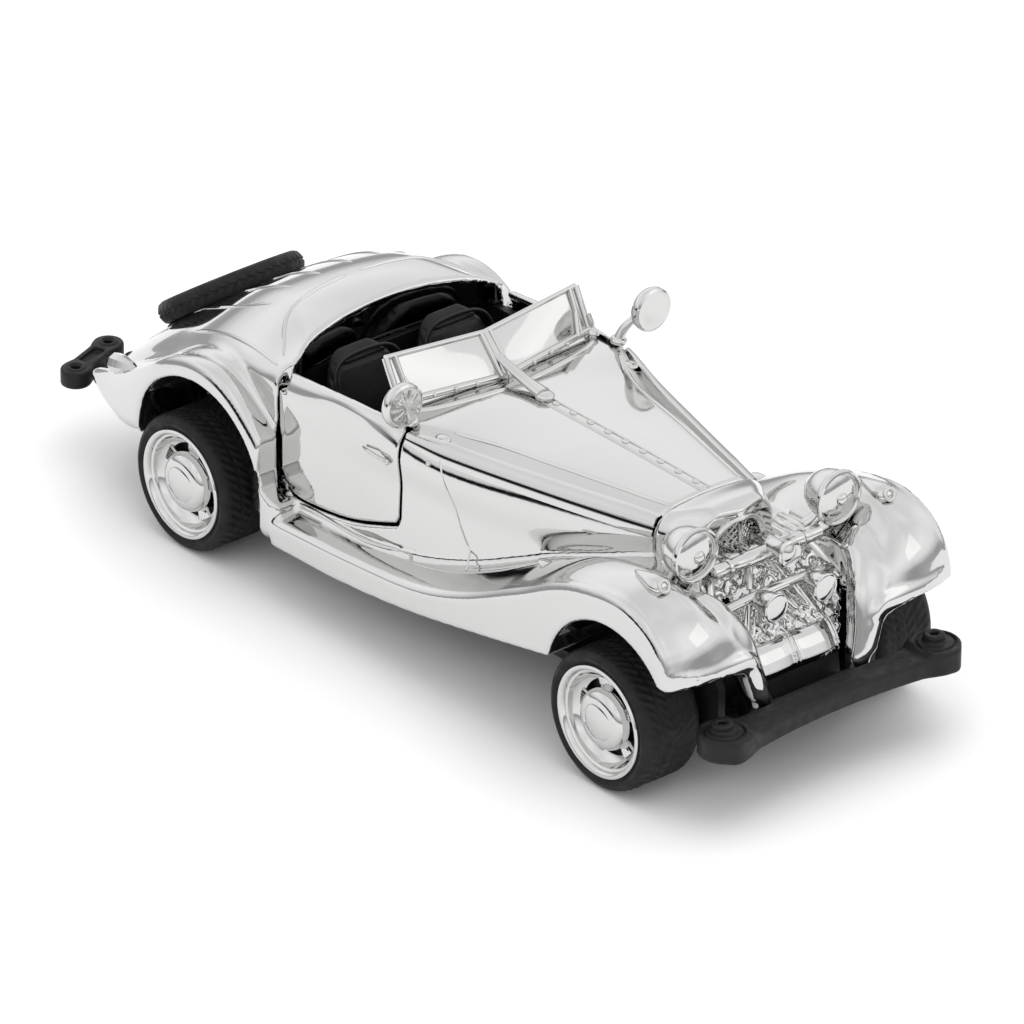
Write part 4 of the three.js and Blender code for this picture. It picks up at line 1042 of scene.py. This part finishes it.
def screen_half(s):
    """Windscreen pane of one side with its bars and clamp; s is 1 on the left, -1 on the right."""
    a, b, c, d = np.array([(s * 15.5, 6.6, 31.3), (s * 15.5, 9.3, 36.5), PILLAR_FOOT, PILLAR_TOP])
    out = np.cross(b - a, c - a)
    out *= math.copysign(1 / np.linalg.norm(out), -out[1])
    inward = (c - a) / np.linalg.norm(c - a)
    front = []
    back = []
    for u in np.linspace(0, 1, 22):
        for v in np.linspace(0, 1, 10):
            p = (a * (1 - u) + c * u) * (1 - v) + (b * (1 - u) + d * u) * v
            swell = 0.18 * math.sin(math.pi * u) * math.sin(math.pi * v)
            front.append(p + out * (0.05 + swell))
            back.append(p - out * 0.5)
    bars = (
        (0.5, 12, a, b),
        (0.36, 10, b, (b + d) / 2, d),
        (0.5, 12, a + (0, -0.1, 0.1), (a + c) / 2 + (0, -0.1, 0.1), c),
        (0.32, 12, a + inward * 1.5 + out * 0.2, b + inward * 1.3 + out * 0.2),
        (0.32, 12, c - inward * 0.7 + out * 0.3, d - inward * 0.7 + out * 0.3),
        (0.3, 10, a + inward * 2.4 + out * 0.4, a + inward * 1.5 + (b - a) * 0.5 + out * 0.3),
        ([0.75, 0.6, 0.4], 12, a + (s * 0.3, 0.1, -0.8), a + (s * 0.35, 0.2, 0.8), a + (s * 0.3, 0.5, 1.9)),
    )
    studs = [ball(a * (1 - t) + c * t + (0, -0.65, 0.15), (0.3, 0.3, 0.3), 12) for t in (0.3, 0.5, 0.7)]
    studs.append(ball((a + c) / 2 + (0, -0.7, 0.3), (0.32, 0.32, 0.32), 14))
    studs.append(ball(a + (s * 0.2, -0.3, -0.4), (0.9, 1.1, 0.9), 24))
    foot = [(s * 15.6, 5.6, 31), (s * 12, 3.9, 31), (s * 6, 2.7, 31), (s * 1.6, 2.2, 31)]
    seal = surface_rib(foot, 0.42, 8)
    tubes = [tube(path, radius, sides) for radius, sides, *path in bars]
    return joined(sheet_solid(front, back, 22, 10, out), *tubes, *studs, seal)


PILLAR_FOOT = (0.0, 4.4, 30.9)
PILLAR_TOP = (0.0, 8.6, 35.3)


def make_windscreen():
    pillar = tube([PILLAR_FOOT, (0, 6.4, 33.2), (0, 8.7, 35.5)], [0.55, 0.5, 0.45], 12)
    path = spline([(0, 6.2, 33.1), (0, 3.4, 32.3), (0, 0.4, 31.6), (0, -2.6, 31.15)], 8)
    radii = np.interp(np.linspace(0, 1, len(path)), (0, 0.6, 1), (0.6, 0.85, 1.15))
    strut = joined(tube(path, radii, 16, 0.6), ball((0, -2.9, 30.95), (1.25, 1.3, 0.6), 24))
    whole = joined(screen_half(-1), screen_half(1), pillar, strut)
    add_piece("windscreen_frame", whole, CHROME, "windscreen", 45)


def sheet_solid(front, back, nu, nv, out):
    """Closed slab between two point grids."""
    points = [tuple(p) for p in front] + [tuple(p) for p in back]
    n = nu * nv
    faces = []
    for i in range(nu - 1):
        for j in range(nv - 1):
            a, b, c, d = i * nv + j, i * nv + j + 1, (i + 1) * nv + j + 1, (i + 1) * nv + j
            faces.append([a, b, c, d])
            faces.append([n + a, n + d, n + c, n + b])
    rim = [i * nv for i in range(nu)] + [(nu - 1) * nv + j for j in range(1, nv)]
    rim += [i * nv + nv - 1 for i in range(nu - 2, -1, -1)] + [j for j in range(nv - 2, 0, -1)]
    for a, b in zip(rim, rim[1:] + rim[:1]):
        faces.append([b, a, n + a, n + b])
    first = [np.array(points[k]) for k in faces[0][:3]]
    if np.dot(np.cross(first[1] - first[0], first[2] - first[0]), out) < 0:
        faces = [list(reversed(f)) for f in faces]
    return points, faces


MIRROR_BACK = [
    (0, -1.2), (1.4, -1.05), (2.3, -0.7), (2.85, -0.1), (3.0, 0.5), (2.9, 0.95), (2.6, 1.15), (2.3, 1.05),
    (1.6, 1.28), (0.8, 1.4), (0, 1.44),
]
MIRROR_GLASS = [(0, 0.8), (2.5, 0.85), (2.5, 1.1), (0.6, 1.22), (0.5, 1.42), (0, 1.5)]


def make_mirrors():
    facets = []
    for a in np.linspace(0, 2 * math.pi, 10, endpoint=False):
        path = [(r * math.cos(a), y, r * math.sin(a)) for r, y in ((0.35, -1.3), (1.3, -1.26), (2.15, -1.0))]
        facets.append(tube(path, [0.12, 0.24, 0.36], 8))
    back = lathe(MIRROR_BACK, 64)
    face = joined(lathe(MIRROR_GLASS, 64), *facets)
    for label, side in SIDES:
        disc = back if side > 0 else joined(back, face)
        arm_path = [(17.0, 2.6, 31.0), (17.4, 2.5, 32.0), (18.0, 2.1, 33.0), (19.2, 1.5, 34.2)]
        arm = tube(spline([(side * x, y, z) for x, y, z in arm_path], 6), np.linspace(0.75, 0.5, 19), 14)
        foot = ball((side * 17.0, 2.7, 30.9), (1.1, 1.2, 0.7), 24)
        mirror = joined(moved(disc, at(side * 20.3, 0.8, 35.1)), arm, foot)
        add_piece(f"spot_mirror_turned_{label}", mirror, CHROME, f"spot_mirror_{label}", 40)


# ---------------------------------------------------------------- cabin
def seat_field(x, y, z):
    """Bucket seat: a crowned cushion and a rounded back with a piped edge."""
    lean = (z - 18) * 0.42
    v = y - 20.0 - lean
    back_w = 6.3 - 0.055 * np.clip(z - 22, 0, 9) ** 2
    back = both(both(np.abs(v) - 1.15, np.abs(x) - back_w, 0.9), np.abs(z - 22.6) - 7.3, 1.6)
    crown = 0.55 * np.clip(1 - (x / 5.4) ** 2, 0, 1) * np.clip(1 - ((z - 24) / 5.4) ** 2, 0, 1)
    back = back - np.where(v < 0, crown, 0)
    groove = np.exp(-(((np.abs(x) - 4.9) / 0.22) ** 2))
    groove = groove + np.exp(-(((z - 28.3) / 0.22) ** 2)) * (np.abs(x) < 4.9)
    back = back + 0.22 * np.where(v < 0, groove, 0)
    seat = both(both(np.abs(x) - 6.3, np.abs(y - 15.0) - 5.6, 1.0), np.abs(z - 16.0) - 2.2, 0.9)
    seat = seat - 0.35 * np.clip(1 - (x / 5) ** 2, 0, 1) * np.where(z > 16, 1, 0)
    return either(back, seat, 0.6)


PIPING = ((-5.7, 20.7, 20.0), (-5.9, 22.3, 24.4), (-5.3, 23.6, 27.6), (-3.6, 24.2, 29.2), (0, 24.3, 29.6))


def make_seats():
    shell = skin(seat_field, (-7.4, 0.24, 7.4), (8.6, 0.24, 27.0), (13.2, 0.24, 31.4))
    around = [*PIPING, *[(-x, y, z) for x, y, z in PIPING[-2::-1]]]
    seat = joined(shell, tube(spline(around, 8) + (0, -1.35, 0.1), 0.26, 10))
    for label, side in SIDES:
        add_piece(f"seat_moulding_{label}", moved(seat, at(side * 7.4, 0, 0)), BLACK, f"seat_{label}")


def make_steering_wheel():
    grip = [(3.6 * math.cos(a), 3.6 * math.sin(a), 0) for a in np.linspace(0, 2 * math.pi, 61)]
    parts = [tube(grip, 0.36, 12)]
    for a in np.radians((90, 210, 330)):
        spoke = [(r * math.cos(a), r * math.sin(a), z) for r, z in ((0, -0.3), (2, -0.15), (3.5, 0))]
        parts.append(tube(spoke, [0.5, 0.34, 0.28], 10, 0.6))
    hub = [(0, -4.6), (0.55, -4.6), (0.6, -0.9), (1.1, -0.6), (1.1, 0.1), (0.8, 0.4), (0, 0.5)]
    parts.append(lathe(hub, 32, "Z"))
    wheel = moved(joined(*parts), at(-8.4, 12.6, 25.6) @ turn(-62, "X"))
    add_piece("steering_wheel_moulding", wheel, BLACK, "steering_wheel", 50)


# ---------------------------------------------------------------- bumpers and base
def front_bumper_field(x, y, z):
    w = np.abs(x)
    lobe = np.hypot(w - 17.3, y + 55.9) - 3.2
    front = -57.3 - 0.0055 * w**2
    rear = -53.7 + 0.0 * w
    blade = both(both(front - y, y - rear, 0.5), w - 18, 0.4)
    plan = either(blade, lobe, 1.6)
    top = 12.1 + 0.55 * ease((w - 13.5) / 1.5)
    field = both(both(plan, z - top, 0.45), 9.55 - z, 0.4)
    boss = both(np.hypot(w - 17.3, y + 55.6) - 1.35, z - 13.6, 0.25)
    pocket = both(np.hypot(w - 17.3, y + 55.6) - 0.55, 12.9 - z, 0.1)
    field = either(field, both(boss, 10 - z, 0.1), 0.35)
    field = without(field, pocket, 0.12)
    groove = np.abs(np.hypot(w - 17.3, y + 55.9) - 2.45) - 0.16
    field = without(field, both(groove, 12.35 - z, 0.05), 0.1)
    chin_top = np.interp(y, (-55.2, -54.2, -52.8, -51.4, -50.6), (12.0, 11.3, 10.8, 11.5, 12.3))
    chin = both(both(z - chin_top, np.abs(y + 53.1) - 2.5, 0.15), both(w - 9.6, 9.7 - z, 0.2), 0.2)
    field = either(field, chin, 0.3)
    tongue = box_field(w, y, z, (-9, -54.6, 9.7), (6.4, -52.6, 11.0), 0.3)
    return either(field, tongue, 0.3)


def rear_bumper_field(x, y, z):
    """Quarter bumper on the left side: two dimpled lobes, a waisted web and a bracket."""
    a, b = (17.6, 68.5), (9.9, 71.5)
    lobes = np.minimum(np.hypot(x - a[0], y - a[1]) - 1.9, np.hypot(x - b[0], y - b[1]) - 1.95)
    dx, dy = b[0] - a[0], b[1] - a[1]
    t = np.clip(((x - a[0]) * dx + (y - a[1]) * dy) / (dx * dx + dy * dy), 0, 1)
    web = np.hypot(x - a[0] - t * dx, y - a[1] - t * dy) - 1.6
    field = both(both(either(lobes, web, 0.8), z - 12.6, 0.4), 10.3 - z, 0.35)
    middle = np.hypot(x - (a[0] + b[0]) / 2, y - (a[1] + b[1]) / 2)
    recess = both(np.maximum(web + 0.8, middle - 2.1), 12.0 - z, 0.2)
    field = without(field, recess, 0.2)
    for cx, cy in (a, b):
        ring = np.hypot(x - cx, y - cy)
        field = without(field, both(ring - 0.6, 11.4 - z, 0.1), 0.15)
        field = either(field, both(both(np.abs(ring - 1.05) - 0.22, 12.2 - z, 0.05), z - 12.8, 0.1), 0.12)
    arm = capsule(x, y, z, ((13.4, 69.4, 10.6, 0.8), (10.9, 64.6, 9.6, 0.95), (10.3, 60.0, 9.3, 0.9)))
    return either(field, arm, 0.3)


def make_bumpers():
    blade = skin(front_bumper_field, (-21.2, 0.24, 21.2), (-60, 0.22, -52), (9, 0.2, 14.4))
    add_piece("front_bumper_moulding", blade, BLACK_ROUGH, "front_bumper")
    quarter = skin(rear_bumper_field, (6.8, 0.18, 20.6), (58.6, 0.18, 74.4), (7.8, 0.18, 12.8))
    for label, side in SIDES:
        part = moved(quarter, flip(side))
        add_piece(f"rear_bumper_moulding_{label}", part, BLACK_ROUGH, f"rear_bumper_{label}")


CAD_FINISH = (
    (BLACK, ("interior_tub", "dashboard")),
    (BLACK_ROUGH, ("base_plate",)),
    (MOTOR, ("motor_case", "motor_cover", "axle_gear", "spring_gear")),
    (SPRING, ("mainspring",)),
    (STEEL, ("front_axle", "rear_axle", "body_screw_front", "body_screw_rear")),
    (STEEL, ("door_hinge_pin_left", "door_hinge_pin_right")),
)


def dress_cad_nodes():
    """CAD pieces that stay as they are get a finished material."""
    for material, names in CAD_FINISH:
        for name in names:
            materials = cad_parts[name].data.materials
            materials.clear()
            materials.append(material)


# ---------------------------------------------------------------- floor, light and camera
def make_floor():
    bm = bmesh.new()
    bmesh.ops.create_circle(bm, cap_ends=True, segments=128, radius=0.45)
    mesh = bpy.data.meshes.new("studio_floor")
    bm.to_mesh(mesh)
    bm.free()
    mesh.materials.append(new_material("studio_floor", (0.94, 0.94, 0.94), 0.0, 0.6, 0.7, 0.004)[0])
    floor = bpy.data.objects.new("studio_floor", mesh)
    bpy.context.scene.collection.objects.link(floor)


def color_ramp(tree, source, stops):
    ramp = add_node(tree, "ValToRGB", Fac=source)
    elements = ramp.color_ramp.elements
    elements[0].position = stops[0][0]
    elements[1].position = stops[-1][0]
    for place, _ in stops[1:-1]:
        elements.new(place)
    for element, (_, level) in zip(elements, stops):
        element.color = (level, level, level * 1.01, 1)
    return ramp.outputs["Color"]


# Brightness of the studio against its height, from 0 straight down to 1 straight up.
SOFT_SKY = (
    (0.0, 0.8), (0.43, 0.8), (0.455, 0.5), (0.5, 0.36), (0.54, 0.38), (0.565, 0.55), (0.62, 0.78),
    (0.72, 0.88), (1.0, 0.8),
)
DARK_SKY = (
    (0.0, 0.8), (0.43, 0.8), (0.455, 0.5), (0.485, 0.3), (0.495, 0.01), (0.562, 0.008), (0.572, 0.4),
    (0.62, 0.78), (1.0, 0.8),
)
DARK_SIDE = (-0.97, 0.24, 0.0)
SKY_LEVEL = 1.32


def make_world():
    """White studio with a grey band along the horizon.

    On one side the band is a black card, which the plating on the car's flanks picks up as crisp stripes.
    """
    world = bpy.data.worlds.new("studio")
    bpy.context.scene.world = world
    world.use_nodes = True
    tree = world.node_tree
    direction = add_node(tree, "TexCoord").outputs["Generated"]
    height = remap(tree, add_node(tree, "SeparateXYZ", Vector=direction).outputs["Z"], -1, 1)
    toward = add_node(tree, "VectorMath", {"operation": "DOT_PRODUCT"})
    feed(tree, toward, 0, direction)
    feed(tree, toward, 1, DARK_SIDE)
    share = remap(tree, toward.outputs["Value"], 0.9, 0.96)
    sky = blend(tree, "MIX", share, color_ramp(tree, height, SOFT_SKY), color_ramp(tree, height, DARK_SKY))
    level = remap(tree, noise(tree, direction, 1.7, 1), 0.35, 0.65, 0.88, 1.06)
    background = tree.nodes["Background"]
    feed(tree, background, "Color", blend(tree, "MULTIPLY", 1.0, sky, level))
    feed(tree, background, "Strength", SKY_LEVEL)


def add_area_light(name, place, target, size, power):
    data = bpy.data.lights.new(name, "AREA")
    data.shape = "RECTANGLE"
    data.size = size[0]
    data.size_y = size[1]
    data.energy = power
    obj = bpy.data.objects.new(name, data)
    bpy.context.scene.collection.objects.link(obj)
    obj.location = place
    obj.rotation_euler = (Vector(target) - Vector(place)).to_track_quat("-Z", "Y").to_euler()
    return obj


def make_lights():
    overhead = add_area_light("overhead_softbox", (0.1, -0.05, 0.9), (0, 0, 0), (0.9, 0.7), 2.6)
    overhead.visible_glossy = False  # it would otherwise add white patches to the plating
    add_area_light("front_softbox", (0.55, -0.75, 0.55), (0, 0, 0.01), (0.5, 0.35), 0.14)


CAMERA_AZIMUTH = math.radians(-40.908)
CAMERA_ELEVATION = math.radians(28.039)
CAMERA_ROLL = math.radians(0.455)
CAMERA_DISTANCE = 1.2
CAMERA_LENS = 337.85
CAMERA_TARGET = Vector((0.0, -0.004096, 0.012222))


def make_camera():
    data = bpy.data.cameras.new("camera")
    data.sensor_width = 36
    data.lens = CAMERA_LENS
    data.clip_start = 0.05
    data.clip_end = 20
    camera = bpy.data.objects.new("camera", data)
    bpy.context.scene.collection.objects.link(camera)
    a, e = CAMERA_AZIMUTH, CAMERA_ELEVATION
    back = Vector((math.sin(a) * math.cos(e), -math.cos(a) * math.cos(e), math.sin(e)))
    right = Vector((math.cos(a), math.sin(a), 0))
    up = back.cross(right)
    turned_right = math.cos(CAMERA_ROLL) * right + math.sin(CAMERA_ROLL) * up
    turned_up = math.cos(CAMERA_ROLL) * up - math.sin(CAMERA_ROLL) * right
    place = CAMERA_TARGET + back * CAMERA_DISTANCE
    axes = Matrix((turned_right, turned_up, back)).transposed().to_4x4()
    camera.matrix_world = Matrix.Translation(place) @ axes
    bpy.context.scene.camera = camera


# ---------------------------------------------------------------- the scene
make_camera()
make_floor()
make_world()
make_lights()
make_body()
make_doors()
make_body_trims()
make_bonnet_hinge()
make_wheels()
make_spare()
make_radiator()
make_grille()
make_front()
make_lamps()
make_windscreen()
make_mirrors()
make_seats()
make_steering_wheel()
make_bumpers()
dress_cad_nodes()
bpy.context.scene.view_settings.view_transform = "Standard"
